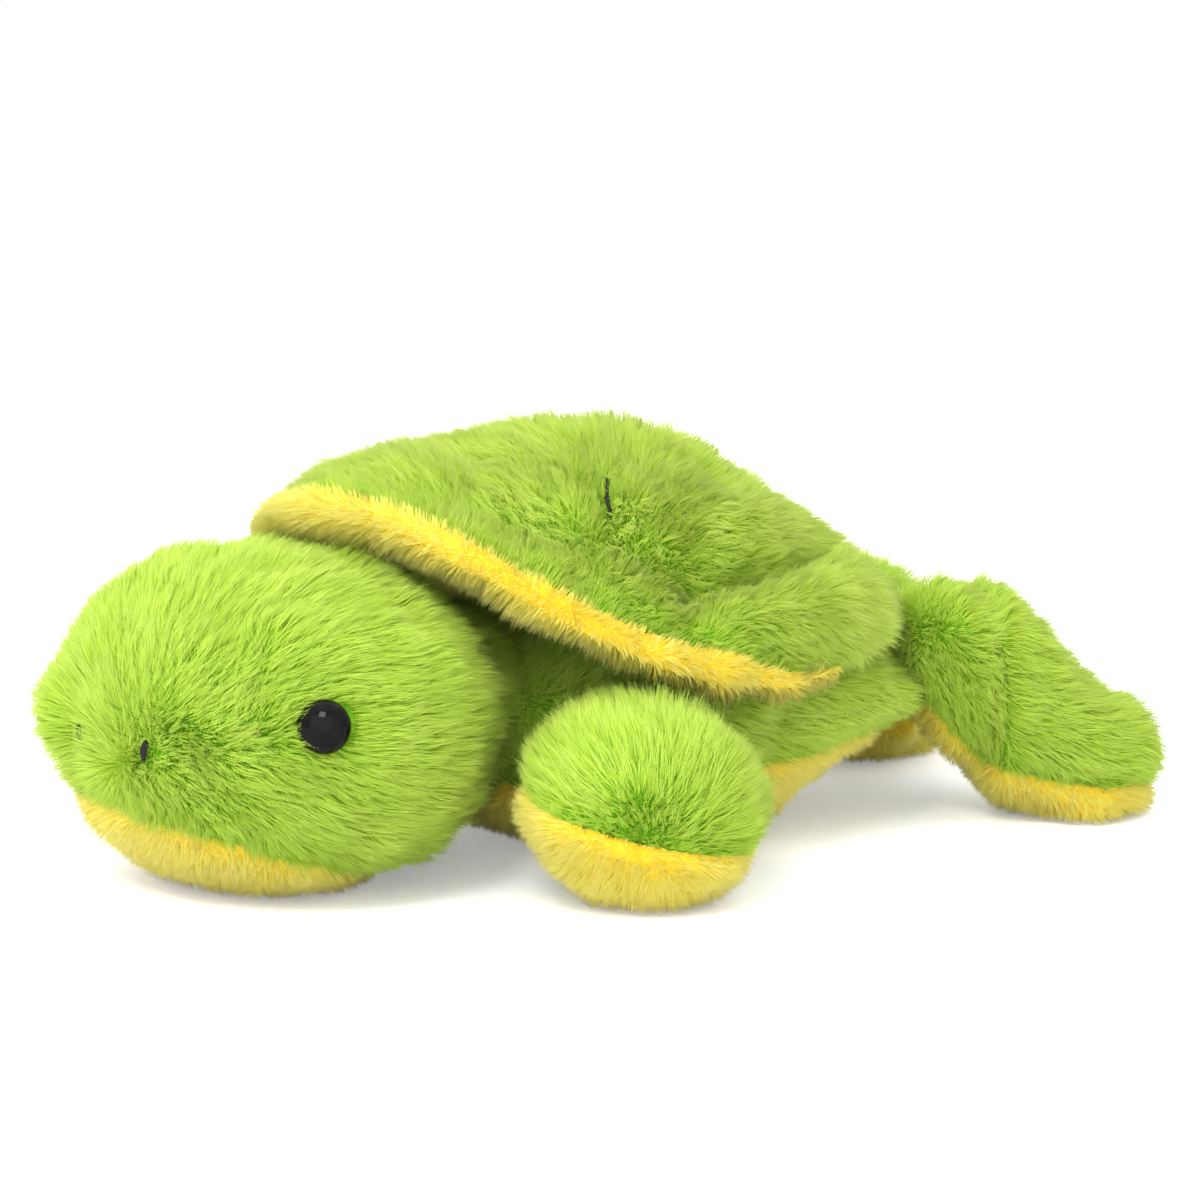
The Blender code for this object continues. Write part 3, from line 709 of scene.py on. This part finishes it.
green_cloth = cloth_material("green_cloth", (0.10, 0.32, 0.008), (0.17, 0.42, 0.014))
yellow_cloth = cloth_material("yellow_cloth", (0.90, 0.60, 0.025), (0.95, 0.70, 0.040))
eye_gloss = patterned(
    "eye_gloss", EYE_TONES, 0.04, 0.11, "ShaderNodeTexNoise", Scale=260, Detail=3
)[0]
thread, *_, twist = patterned("thread", THREAD_TONES, 0.6, 0.15, "ShaderNodeTexWave", Scale=1500)
twist.bands_direction = "DIAGONAL"


# The forms


def away_from(point, down=0.0):
    point = np.array(point)

    def flow(places):
        way = unit_vectors(places - point)
        way[:, 2] -= down
        return way

    return flow


def all_along(way):
    def flow(places):
        return np.tile(way, (len(places), 1))

    return flow


def seam_plane(point, turn):
    return point, turn @ UPWARD, no_climb


# Lines of pixels of the photograph, along which the cloth sinks or rises
# Along some of them the pile also takes painted shade
SLIT = (607, 470), (606, 495), (609, 518)
SLIT_FOLD = (609, 520), (640, 555), (695, 586)
FRONT_FOLD = (476, 447), (472, 470), (480, 496), (520, 518), (587, 533)
REAR_FOLD = (698, 588), (740, 580), (790, 568), (830, 548)
FOLD_MEETING = (697, 584), (704, 592)
TOP_DENT = (742, 466), (720, 486)
MIDDLE_PILLOW = (640, 505), (700, 510), (760, 530)
REAR_PILLOW = (730, 622), (800, 606), (865, 585)
NEAR_PILLOW = (660, 606), (682, 580)
TOP_PILLOW = (540, 430), (620, 430), (690, 450)
FRONT_PILLOW = (350, 470), (410, 465)
# Painted shade along the shell's lip
PAINTED_LIP_SHADE = (690, 638), (770, 652), (850, 652)
MOUTH = (205, 760), (250, 741), (302, 734)
MOUTH_END = (334, 722), (334, 736)
MUZZLE_DENT = (220, 672), (232, 655)
CHIN_DENT = (185, 790), (240, 805), (300, 805)
CHEEK = (286, 645), (364, 628), (430, 650)
CHEEK_FOLD = (345, 605), (410, 612), (470, 650)
SNOUT = (52, 700), (58, 722)
FOREHEAD = (130, 560), (170, 560)
FLANK_TUFT = (470, 600)

FLANK_TUFT_SIZE, FLANK_TUFT_GAIN = 20 * MM, 0.9
FORM_LEVEL, LIMB_LEVEL, TAIL_LEVEL = 6, 5, 4  # how often the faces of a ball are divided
TORSO_SEAM, TORSO_SEAM_SLOPE = np.array((0, 0, 20.2)) * MM, 3.3
HEAD_SEAM, HEAD_SEAM_SLOPE, HEAD_SEAM_ROLL = 8.5 * MM, -15, 6
TORSO_FLOW = 0.0, 0.9, -0.5
SHELL_WHORL, SHELL_FALL = SHELL_MID + np.array((0, 2, 56)) * MM, 0.15
NOSE, HEAD_FALL = HEAD_MID + HEAD_TURN @ (np.array((0, -44, -6)) * MM), 0.1
torso = Form(
    "torso", "trunk", torso_shape, FORM_LEVEL,
    seam_plane(SHELL_MID + TORSO_SEAM, turn_about("X", TORSO_SEAM_SLOPE)),
    flow=all_along(TORSO_FLOW),
    long=((FLANK_TUFT, FLANK_TUFT_SIZE, FLANK_TUFT_GAIN),),
)
shell = Form(
    "shell", "trunk", lambda unit: shell_shape(unit, torso.tree), FORM_LEVEL, "rim",
    creases=(
        # A crease's fourth number is the painted shade on its pile
        crease(SLIT, 2.0, 3.0, 1.0, 1.2),
        crease(SLIT_FOLD, 5, 2.0, 0.1),
        crease(FRONT_FOLD, 7, 3.4, 0.15),
        crease(REAR_FOLD, 5, 6.0, 0.4, 0.4),
        crease(FOLD_MEETING, 6, 7.5, 0.4),
        crease(TOP_DENT, 7, 2.6, 0.15),
        crease(MIDDLE_PILLOW, 13, -3.5),
        crease(REAR_PILLOW, 10, -3.5),
        crease(NEAR_PILLOW, 6, -2.5),
        crease(TOP_PILLOW, 16, -2.0),
        crease(FRONT_PILLOW, 12, -1.5),
        crease(PAINTED_LIP_SHADE, 5, 1.0, 0.35),
    ),
    flow=away_from(SHELL_WHORL, SHELL_FALL),
)
head = Form(
    "head", "head", head_shape, FORM_LEVEL,
    seam_plane(
        np.array((*HEAD_MID[:2], HEAD_SEAM)),
        HEAD_TURN @ turn_about("X", HEAD_SEAM_SLOPE) @ turn_about("Y", HEAD_SEAM_ROLL),
    ),
    creases=(
        # A crease's fourth number is the painted shade on its pile
        crease(MOUTH, 4, 1.2, 0.15, 0.8),
        crease(MUZZLE_DENT, 10, 2.6, 0.15),
        crease(CHIN_DENT, 11, 1.6, 0.2),
        crease(MOUTH_END, 8, 0.4, 0.45),
        crease(CHEEK, 10, -2.2),
        crease(CHEEK_FOLD, 7, 1.6, 0.2),
        crease(SNOUT, 9, -4.0),
        crease(FOREHEAD, 10, -1.6),
    ),
    flow=away_from(NOSE, HEAD_FALL),
)

# How a rear leg leaves the plain outline: by how much, over which width and about which place
THIGH_SAG, SAG_SPAN = 15 * MM, (15 * MM, 4 * MM)
THIGH_TOP, TOP_SPAN = 2.5 * MM, (5 * MM, 8 * MM)
THIGH_FILL, FILL_SPAN, FILL_SIDE = 4 * MM, (9 * MM, 5 * MM), 15 * MM
FOOT_DROP, DROP_START, DROP_LENGTH = 11 * MM, -4 * MM, 62 * MM
UNDERSIDE, UNDERSIDE_TURN = 2 * MM, 18 * MM  # from the root's height downward
UPPER_SIDE, UPPER_SIDE_TURN = 18 * MM, 22 * MM  # from the floor upward
SOLE_EDGE, SOLE_CLIMB, SOLE_TURN = 8 * MM, 20 * MM, 14 * MM
CLIMB_END, CLIMB_TOP = 9 * MM, -8 * MM


def filled_thigh(p, root, bearing):
    """A thigh that hangs full underneath, and a back that slopes down to the foot."""
    aim = turn_about("Z", bearing)
    along = (p - root) @ (aim @ AHEAD)
    under = np.clip((root[2] + UNDERSIDE - p[:, 2]) / UNDERSIDE_TURN, 0, 1)
    over = np.clip((p[:, 2] - UPPER_SIDE) / UPPER_SIDE_TURN, 0, 1)
    p[:, 2] -= THIGH_SAG * under * bell(along, *SAG_SPAN)
    p[:, 2] -= FOOT_DROP * over * eased((along - DROP_START) / DROP_LENGTH)
    p[:, 2] -= THIGH_TOP * over * bell(along, *TOP_SPAN)
    sideways = aim @ SIDEWAYS
    share = np.clip((p - root) @ sideways / FILL_SIDE, -1, 1)
    p += sideways * (THIGH_FILL * share * bell(along, *FILL_SPAN))[:, None]
    p[:, 2] = np.maximum(p[:, 2], 0)
    return p


def sole_climb(places, root, bearing):
    """The yellow sole runs up the underside of the thigh, toward the belly."""
    along = (places - root) @ (turn_about("Z", bearing) @ AHEAD)
    return SOLE_CLIMB * np.exp(-np.maximum(along + CLIMB_END, CLIMB_TOP) / SOLE_TURN)


# The root's place in half sizes of the torso, its radius, how far off the foot's middle is, the
# foot's size, where it starts and ends to settle and to what height, bearings, roll in degrees
PAW = (
    (0.87, -0.56, -0.14), 17.5 * MM, 33 * MM, np.array((54, 58, 48)) * MM,
    (4 * MM, 33 * MM, 22.8 * MM), {1: -18, -1: 198}, -12,
)
FOOT = (
    (0.54, 0.905, 0.41), 16.5 * MM, 27 * MM, np.array((54, 47, 54)) * MM,
    (0, 38 * MM, 16.5 * MM), {1: 74, -1: 142}, 4,
)
PAW_SEAM, PAW_SEAM_SLOPE, PAW_SEAM_ROLL, PAW_TIP = 19.0 * MM, 4, -14, 8 * MM
FOOT_FLOW = 1, 0, -0.3
TAIL_ROOT = on_torso((0, 0.97, 0))
TAIL = 8.5 * MM, 10 * MM, np.array((22, 18, 18)) * MM, (0, 10 * MM, 4 * MM), 90, 0


def make_leg(name, kind, side):
    place, radius, reach, size, (start, end, level), bearings, roll = kind
    root, bearing = on_torso(place, side), bearings[side]
    settle = start, end, root[2] - level
    aim = turn_about("Z", bearing)

    def shape(unit):
        p = limb_shape(unit, root, radius, reach, size, settle, bearing, side * roll)
        return filled_thigh(p, root, bearing) if kind is FOOT else p

    def climb(places):
        return sole_climb(places, root, bearing)

    if kind is FOOT:
        seam, flow = ((0, 0, SOLE_EDGE), UPWARD, climb), all_along(aim @ np.array(FOOT_FLOW))
    else:
        edge, tip = (root + aim @ (AHEAD * far) for far in (reach, reach + size[0] / 2))
        edge[2], tip[2] = PAW_SEAM, PAW_TIP
        turn = aim @ turn_about("Y", PAW_SEAM_SLOPE) @ turn_about("X", side * PAW_SEAM_ROLL)
        seam, flow = seam_plane(edge, turn), away_from(tip)
    return Form(name, name, shape, LIMB_LEVEL, seam, flow=flow)


SIDES = {"left": 1, "right": -1}
legs = [make_leg(f"front_leg_{name}", PAW, side) for name, side in SIDES.items()]
legs += [make_leg(f"rear_leg_{name}", FOOT, side) for name, side in SIDES.items()]
tail = Form(
    "tail", "tail", lambda unit: limb_shape(unit, TAIL_ROOT, *TAIL), TAIL_LEVEL,
    flow=away_from(TAIL_ROOT),
)
forms = [torso, shell, head, *legs, tail]


# Cloth panels

BACKING = 0.8 * MM


def panel(name, form, chosen, material, slot, *nodes):
    """One sewn panel: the chosen faces of the cloth, with its backing turned in at the seam."""
    used, corner = np.unique(form.faces[chosen], return_inverse=True)
    faces = corner.reshape(-1, 3)
    outside = form.cloth[used]
    inside = outside - form.normal[used] * BACKING
    inside[:, 2] = np.maximum(inside[:, 2], LEAST_BACKING)
    edges = {(a, b) for f in faces.tolist() for a, b in zip(f, f[1:] + f[:1])}
    count = len(used)
    rim = [(b, a, a + count, b + count) for a, b in sorted(edges) if (b, a) not in edges]
    whole = faces.tolist() + (faces[:, ::-1] + count).tolist() + rim
    piece = add_solid(name, np.vstack((outside, inside)), whole, material)
    finish_piece(piece, form.body, slot, *nodes)


SKINS = {
    "torso": ("torso_back_fur", "torso_belly_fur", ("torso_stuffing",), ("bean_pouch",)),
    "shell": ("shell_top_fur", "shell_under_fur", ("shell_stuffing",), ()),
    "head": (
        "head_top_fur", "head_chin_fur",
        ("head_stuffing", "eye_washer_left", "eye_washer_right"), (),
    ),
    "tail": ("tail_fur", None, ("tail_stuffing",), ()),
}
for leg in legs:
    SKINS[leg.name] = (f"{leg.name}_fur", f"{leg.name}_sole", (f"{leg.name}_stuffing",), ())

# Eyes and nostrils, set where their solids are


def round_frame(node, long):
    """The axis of a turned or drawn-out solid and its middle, from how its points lie."""
    points = np.array([v.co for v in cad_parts[node].data.vertices])
    centre = points.mean(0)
    values, ways = np.linalg.eigh(np.cov((points - centre).T))
    odd = 2 if long or values[2] - values[1] > values[1] - values[0] else 0
    return points, centre, ways[:, odd]


def eye_frame(node):
    points, centre, axis = round_frame(node, False)
    if axis @ (centre - HEAD_MID) < 0:
        axis = -axis
    return centre + axis * ((points - centre) @ axis).max(), axis


def off_axis(way, axis):
    """What is left of each way without its part along an axis."""
    return way - (way @ axis)[:, None] * axis


def off_nostril(places, centre, axis):
    """The way to each place from a nostril's line, as seen from outside."""
    way = off_axis(places - centre, unit_vectors(centre - HEAD_MID))
    return way - (way @ axis)[:, None] * axis * NOSTRIL_ALONG


eyes = [eye_frame(f"eye_{side}") for side in SIDES]
nostrils = [round_frame(f"nostril_stitch_{side}", True)[1:] for side in SIDES]
DOME, EYE_RADIUS, DOME_GAP = 4.6 * MM, 6.2 * MM, 0.7 * MM
EYE_NEAR, EYE_BEHIND = 13 * MM, -12 * MM  # which fibres are held back
HELD_SHORT = 0.45  # by how much they are shorter
EYE_PUSH, EYE_PUSH_WIDTH = 2.6 * MM, 8.5 * MM
PUSH_BEFORE, PUSH_BEHIND = 0.5, 1.4  # how much less, toward the nose and away
EYE_SHOWN, SHOWN_BEFORE = 0.97, 0.27  # of its radius, and less toward the nose
EYE_BARE, EYE_BARE_DEPTH = 0.84, -15 * MM
NOSTRIL_ALONG = 0.62
NOSTRIL_NEAR, NOSTRIL_PUSH, NOSTRIL_PUSH_WIDTH = 11 * MM, 1.2 * MM, 3.6 * MM
NOSTRIL_FREE, NOSTRIL_BARE, NOSTRIL_BARE_REACH = 1.3 * MM, 0.6 * MM, 12 * MM
NOSTRIL_HOLD = 1.0, 0.0  # the pile half hides the nostril on the right
NOSTRIL_SUNK = 0.2 * MM, 1.1 * MM


def part_round_eyes(root, tip):
    """Hold the fibres near an eye or a nostril back, so that it shows."""
    for apex, axis in eyes:
        seat = apex - axis * DOME
        out = off_axis(root - seat, axis)
        away = lengths(out)
        near = (away < EYE_NEAR) & ((root - seat) @ axis > EYE_BEHIND)
        push = bell(away, EYE_PUSH_WIDTH) * near
        way = unit_vectors(out)
        to_nose = unit_vectors(NOSE - seat)
        before, behind = np.clip(way @ to_nose, 0, 1), np.clip(-(way @ to_nose), 0, 1)
        tip = root + (tip - root) * (1 - HELD_SHORT * push)[:, None]
        pushed = EYE_PUSH * push * (1 - PUSH_BEFORE * before - PUSH_BEHIND * behind)
        tip = tip + way * pushed[:, None]
        high = (tip - seat) @ axis
        spread = off_axis(tip - seat, axis)
        free = EYE_RADIUS * (EYE_SHOWN - SHOWN_BEFORE * before)
        short = np.maximum(free - lengths(spread), 0) * near
        tip = tip + way * short[:, None]
        inside = 1 - (np.maximum(lengths(spread), free) / EYE_RADIUS) ** 2
        dome = DOME * np.sqrt(np.maximum(inside, 0)) + DOME_GAP
        lift = np.maximum(dome - high, 0) * near * (inside > 0)
        tip = tip + axis * lift[:, None]
    for hold, (centre, axis) in zip(NOSTRIL_HOLD, nostrils):
        near = (lengths(root - centre) < NOSTRIL_NEAR)[:, None]
        across = off_nostril(root, centre, axis)
        way = unit_vectors(across)
        push = bell(lengths(across), NOSTRIL_PUSH_WIDTH)[:, None]
        held = root + (tip - root) * (1 - HELD_SHORT * push) + way * (NOSTRIL_PUSH * push * hold)
        reach = lengths(off_nostril(held, centre, axis))
        held = held + way * np.maximum(NOSTRIL_FREE - reach, 0)[:, None] * hold
        tip = np.where(near, held, tip)
    return tip


def drop_under_eyes(form):
    """No pile grows under an eye's dome or the left nostril's stitches."""
    middle = form.cloth[form.faces].mean(1)
    for apex, axis in eyes:
        reach = middle - (apex - axis * DOME)
        away = lengths(off_axis(reach, axis))
        form.cover[(away < EYE_RADIUS * EYE_BARE) & (reach @ axis > EYE_BARE_DEPTH)] = 0
    centre, axis = nostrils[0]
    away = lengths(off_nostril(middle, centre, axis))
    near = lengths(middle - centre) < NOSTRIL_BARE_REACH
    form.cover[(away < NOSTRIL_BARE) & near] = 0


DOME_EDGE, DOME_STEPS, EYE_STEPS = 1.45, 18, 64
RIM_SHARES, RIM_DEPTHS = (1, 0.985, 0.95), (0, -0.6 * MM, -0.8 * MM)
STEM_RADIUS, RIDGE_RADIUS, STEM_END = 1.6 * MM, 1.9 * MM, -9.8 * MM
RIDGES, RIDGE_START, RIDGE_STEP = 4, -3.8, 1.2  # millimetres along the stem
RIDGE_EDGE, RIDGE_FOOT = 0.6 * MM, 1.19 * MM


def turned_eye(name, node, apex, axis):
    """A moulded eye: dome, rolled rim and ridged stem, turned in one."""
    bends = np.linspace(0, DOME_EDGE, DOME_STEPS)
    outline = [(EYE_RADIUS * math.sin(a), DOME * math.cos(a)) for a in bends]
    outline += [(EYE_RADIUS * share, depth) for share, depth in zip(RIM_SHARES, RIM_DEPTHS)]
    outline += [(STEM_RADIUS, RIM_DEPTHS[-1])]
    for ridge in range(RIDGES):
        level = (RIDGE_START - RIDGE_STEP * ridge) * MM
        outline += [(STEM_RADIUS, level), (RIDGE_RADIUS, level - RIDGE_EDGE)]
        outline += [(STEM_RADIUS, level - RIDGE_FOOT)]
    outline += [(STEM_RADIUS, STEM_END), (0, STEM_END)]
    form = bmesh.new()
    facing = Vector(axis).to_track_quat("Z", "Y").to_matrix()
    base = Vector(apex - axis * DOME)
    rings = []
    for r, z in outline:
        bends = [2 * math.pi * k / EYE_STEPS for k in range(1 if r < TINY else EYE_STEPS)]
        ring = [Vector((r * math.cos(a), r * math.sin(a), z)) for a in bends]
        rings.append([form.verts.new(facing @ place + base) for place in ring])
    for upper, lower in zip(rings, rings[1:]):
        for k in range(EYE_STEPS):
            a, b = upper[k % len(upper)], upper[(k + 1) % len(upper)]
            c, d = lower[(k + 1) % len(lower)], lower[k % len(lower)]
            form.faces.new(list(dict.fromkeys((a, d, c, b))))
    bmesh.ops.recalc_face_normals(form, faces=form.faces)
    mesh = bpy.data.meshes.new(name)
    form.to_mesh(mesh)
    form.free()
    mesh.shade_smooth()
    mesh.materials.append(eye_gloss)
    finish_piece(add_object(name, mesh), "head", "eye", node)


def tube(line, radius, around=8):
    """Points and faces of a round tube with closed ends."""
    line = np.array(line)
    points, faces = [], []
    for i, p in enumerate(line):
        way = unit_vectors(line[min(i + 1, len(line) - 1)] - line[max(i - 1, 0)])
        across = unit_vectors(np.cross(way, SKEW))
        beside = np.cross(way, across)
        for k in range(around):
            a = 2 * math.pi * k / around
            points.append(p + radius * (across * math.cos(a) + beside * math.sin(a)))
    for i in range(len(line) - 1):
        for k in range(around):
            a, b = i * around + k, i * around + (k + 1) % around
            faces.append((a, b, b + around, a + around))
    last = (len(line) - 1) * around
    faces.append(tuple(range(around))[::-1])
    faces.append(tuple(range(last, last + around)))
    return points, faces


STITCHES, STITCH_HALF, STITCH_SPREAD, STITCH_RADIUS = 7, 2.4 * MM, 0.8 * MM, 0.19 * MM
STITCH_BULGE, SIDE_SHORT, SIDE_FLAT, STITCH_STEPS = 0.9 * MM, 0.75, 0.35, 9
# A dark thread laid as painted shade in the shell's slit
SHADE_THREAD_STEPS, SHADE_THREAD_RADIUS = 9, 0.42 * MM
SHADE_THREAD_RISE, SHADE_THREAD_SPAN = 3.6 * MM, (0.15, 0.7)
SHADE_THREAD_WAVE, SHADE_THREAD_TURN = 0.5 * MM, 7


def stitched_nostril(name, node, centre, axis, sunk):
    """Satin stitches laid side by side over the nostril."""
    outward = unit_vectors(centre - HEAD_MID)
    sideways = unit_vectors(np.cross(outward, axis))
    points, faces = [], []
    middle = STITCHES // 2
    for k in range(STITCHES):
        offset = (k - middle) / middle
        half = STITCH_HALF * math.sqrt(1 - SIDE_SHORT * offset**2)
        line = []
        for t in np.linspace(-1, 1, STITCH_STEPS):
            bulge = STITCH_BULGE * math.sqrt(max(1 - t * t, 0)) * (1 - SIDE_FLAT * offset**2)
            lay = centre + axis * half * t + sideways * offset * STITCH_SPREAD
            line.append(lay + outward * (bulge - sunk))
        found, made = tube(line, STITCH_RADIUS)
        faces += [tuple(i + len(points) for i in face) for face in made]
        points += found
    finish_piece(add_solid(name, points, faces, thread), "head", "stitch_thread", node)


def slit_shade_thread():
    """A dark thread laid along the shell's slit, as painted shade in the slit."""
    line = [seen(pixel, shell.tree) for pixel in SLIT]
    shares = np.linspace(0, 1, SHADE_THREAD_STEPS)
    path = [line[0] + (line[1] - line[0]) * t for t in shares[:-1]]
    path += [line[1] + (line[2] - line[1]) * t for t in shares]
    laid = []
    for i, place in enumerate(path):
        hit, outward = shell.skin.find_nearest(Vector(place))[:2]
        start, length = SHADE_THREAD_SPAN
        share = start + length * (i / (len(path) - 1))
        rise = SHADE_THREAD_RISE * math.sin(math.pi * share)
        rise += SHADE_THREAD_WAVE * math.sin(SHADE_THREAD_TURN * i)
        laid.append(np.array(hit) + np.array(outward) * rise)
    piece = add_solid("shell_slit_shade_thread", *tube(laid, SHADE_THREAD_RADIUS), thread)
    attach(piece, "trunk")


# Growing

PER_SQUARE_MM = 1e6
LONG = Pile(
    density=3.9 * PER_SQUARE_MM, length=8.0 * MM, width=0.175 * MM, lean=0.7, rough=0.22,
    tuft=1.5 * MM, pull=0.27, bent=True, edge=8 * MM, seam_tone=0.22,
)
UNDER = LONG._replace(
    density=2.0 * PER_SQUARE_MM, length=5.4 * MM, width=0.30 * MM, rough=0.3, pull=0.2,
    bent=False, edge=6 * MM,
)
SHORT = UNDER._replace(
    density=5.6 * PER_SQUARE_MM, length=4.2 * MM, width=0.23 * MM, lean=0.25, rough=0.18,
    tuft=1.2 * MM, pull=0.25, edge=2 * MM, seam_tone=0.12,
)
LIP_PILE = 5.4 * MM
LEANS = {"torso": 0.85, "shell": 0.6, "head": 0.95}
PAINTED_LIGHT_TONE = {"shell": 0.3}  # painted light: the shell's pile is lighter than the rest
UNDER_TONE = -0.10
SEED = 100


def grow(form, title, chosen, pile, rng, tone, material, slot, node):
    """One kind of pile on one panel, as its pieces."""
    parts = strands(form, chosen, pile, rng, tone)
    add_pile(f"{form.name}_{title}", form, parts, pile.bent, material, slot, node)


for form in forms:
    form.others = [other for other in forms if other is not form]
    form.meet()
drop_under_eyes(head)
for number, form in enumerate(forms):
    rng = np.random.default_rng(SEED + number)
    upper, lower, inside, low_inside = SKINS[form.name]
    middle = form.side[form.faces].mean(1)
    top, below = middle > 0, middle <= 0
    # Painted light on the shell's pile
    lean, painted_light = LEANS.get(form.name, LONG.lean), PAINTED_LIGHT_TONE.get(form.name, 0.0)
    green, yellow = (green_pile, "green_plush", upper), (yellow_pile, "yellow_plush", lower)
    under, over = UNDER._replace(lean=lean), LONG._replace(lean=lean)
    short = SHORT._replace(length=LIP_PILE) if form is shell else SHORT
    panel(f"{form.name}_green_cloth", form, top, green_cloth, "green_plush", upper, *inside)
    grow(form, "green_undercoat", top, under, rng, painted_light + UNDER_TONE, *green)
    grow(form, "green_pile", top, over, rng, painted_light, *green)
    if lower is None:
        continue
    name = f"{form.name}_yellow_cloth"
    panel(name, form, below, yellow_cloth, "yellow_plush", lower, *low_inside)
    grow(form, "yellow_pile", below, short, rng, 0.0, *yellow)
for side, (apex, axis) in zip(SIDES, eyes):
    turned_eye(f"eye_dome_{side}", f"eye_{side}", apex, axis)
slit_shade_thread()
for side, sunk, (centre, axis) in zip(SIDES, NOSTRIL_SUNK, nostrils):
    stitched_nostril(f"nostril_thread_{side}", f"nostril_stitch_{side}", centre, axis, sunk)


# Stage, light and camera

FLOOR_REACH, FLOOR_PAPER = 6.0, (0.91, 0.91, 0.91, 1)
FLOOR_GLOW = {"From Min": 0.22, "From Max": 0.60, "To Min": 0.30, "To Max": 1.0}
WORLD_LEVEL = 1.0
LAMPS = (  # name; how far to the right, toward the camera and up; watts; size
    ("key", -0.26, 0.78, 0.66, 5.5, 0.36),
    ("side", -0.65, 0.45, 0.80, 4.0, 1.6),
    ("front", 0.25, 1.3, 0.15, 2.5, 1.8),
    ("low", -0.30, 0.95, -0.02, 6.0, 1.3),
    ("fill", 0.9, 0.8, 0.45, 1.5, 1.6),
    ("top", 0, -0.2, 1.1, 5.0, 1.5),
    ("back", 0, -0.95, 0.85, 5.5, 1.5),
)


def stage_floor():
    mesh = bpy.data.meshes.new("floor")
    signs = (-1, -1), (1, -1), (1, 1), (-1, 1)
    corners = [(x * FLOOR_REACH, y * FLOOR_REACH, 0) for x, y in signs]
    mesh.from_pydata(corners, [], [(0, 1, 2, 3)])
    floor = add_object("floor", mesh)
    made = bpy.data.materials.new("floor_paper")
    nodes, links = emptied(made)
    paper = nodes.new("ShaderNodeBsdfDiffuse")
    paper.inputs["Color"].default_value = FLOOR_PAPER
    glow = nodes.new("ShaderNodeEmission")
    path = nodes.new("ShaderNodeLightPath")
    place = nodes.new("ShaderNodeTexCoord")
    away = nodes.new("ShaderNodeVectorMath")
    away.operation = "LENGTH"
    links.new(place.outputs["Object"], away.inputs[0])
    level = nodes.new("ShaderNodeMapRange")
    level.interpolation_type = "SMOOTHSTEP"
    for field, value in FLOOR_GLOW.items():
        level.inputs[field].default_value = value
    links.new(away.outputs["Value"], level.inputs["Value"])
    scale = nodes.new("ShaderNodeMath")
    scale.operation = "MULTIPLY"
    links.new(level.outputs["Result"], scale.inputs[1])
    links.new(path.outputs["Is Camera Ray"], scale.inputs[0])
    links.new(scale.outputs["Value"], glow.inputs["Strength"])
    total = nodes.new("ShaderNodeAddShader")
    links.new(paper.outputs["BSDF"], total.inputs[0])
    links.new(glow.outputs["Emission"], total.inputs[1])
    output = nodes.new("ShaderNodeOutputMaterial")
    links.new(total.outputs["Shader"], output.inputs["Surface"])
    mesh.materials.append(made)


def white_world():
    world = bpy.data.worlds.new("studio")
    bpy.context.scene.world = world
    nodes, links = emptied(world)
    light = nodes.new("ShaderNodeBackground")
    light.inputs["Color"].default_value = (1, 1, 1, 1)
    light.inputs["Strength"].default_value = WORLD_LEVEL
    output = nodes.new("ShaderNodeOutputWorld")
    links.new(light.outputs["Background"], output.inputs["Surface"])


def area_light(name, place, power, size):
    data = bpy.data.lights.new(name, "AREA")
    data.energy, data.shape, data.size = power, "SQUARE", size
    lamp = add_object(name, data)
    lamp.location = place
    lamp.rotation_euler = (AIM - place).to_track_quat("-Z", "Y").to_euler()


stage_floor()
white_world()
for name, across, ahead, above, power, size in LAMPS:
    place = AIM + RIGHT * across + TOWARD * ahead + Vector((0, 0, above))
    area_light(name, place, power, size)
data = bpy.data.cameras.new("camera")
data.lens, data.sensor_width, data.sensor_fit = LENS, SENSOR, "HORIZONTAL"
camera = add_object("camera", data)
turn = Matrix((RIGHT, UP, TOWARD)).transposed()
camera.matrix_world = Matrix.Translation(AIM + TOWARD * DISTANCE) @ turn.to_4x4()
bpy.context.scene.camera = camera
bpy.context.scene.view_settings.view_transform = "Standard"
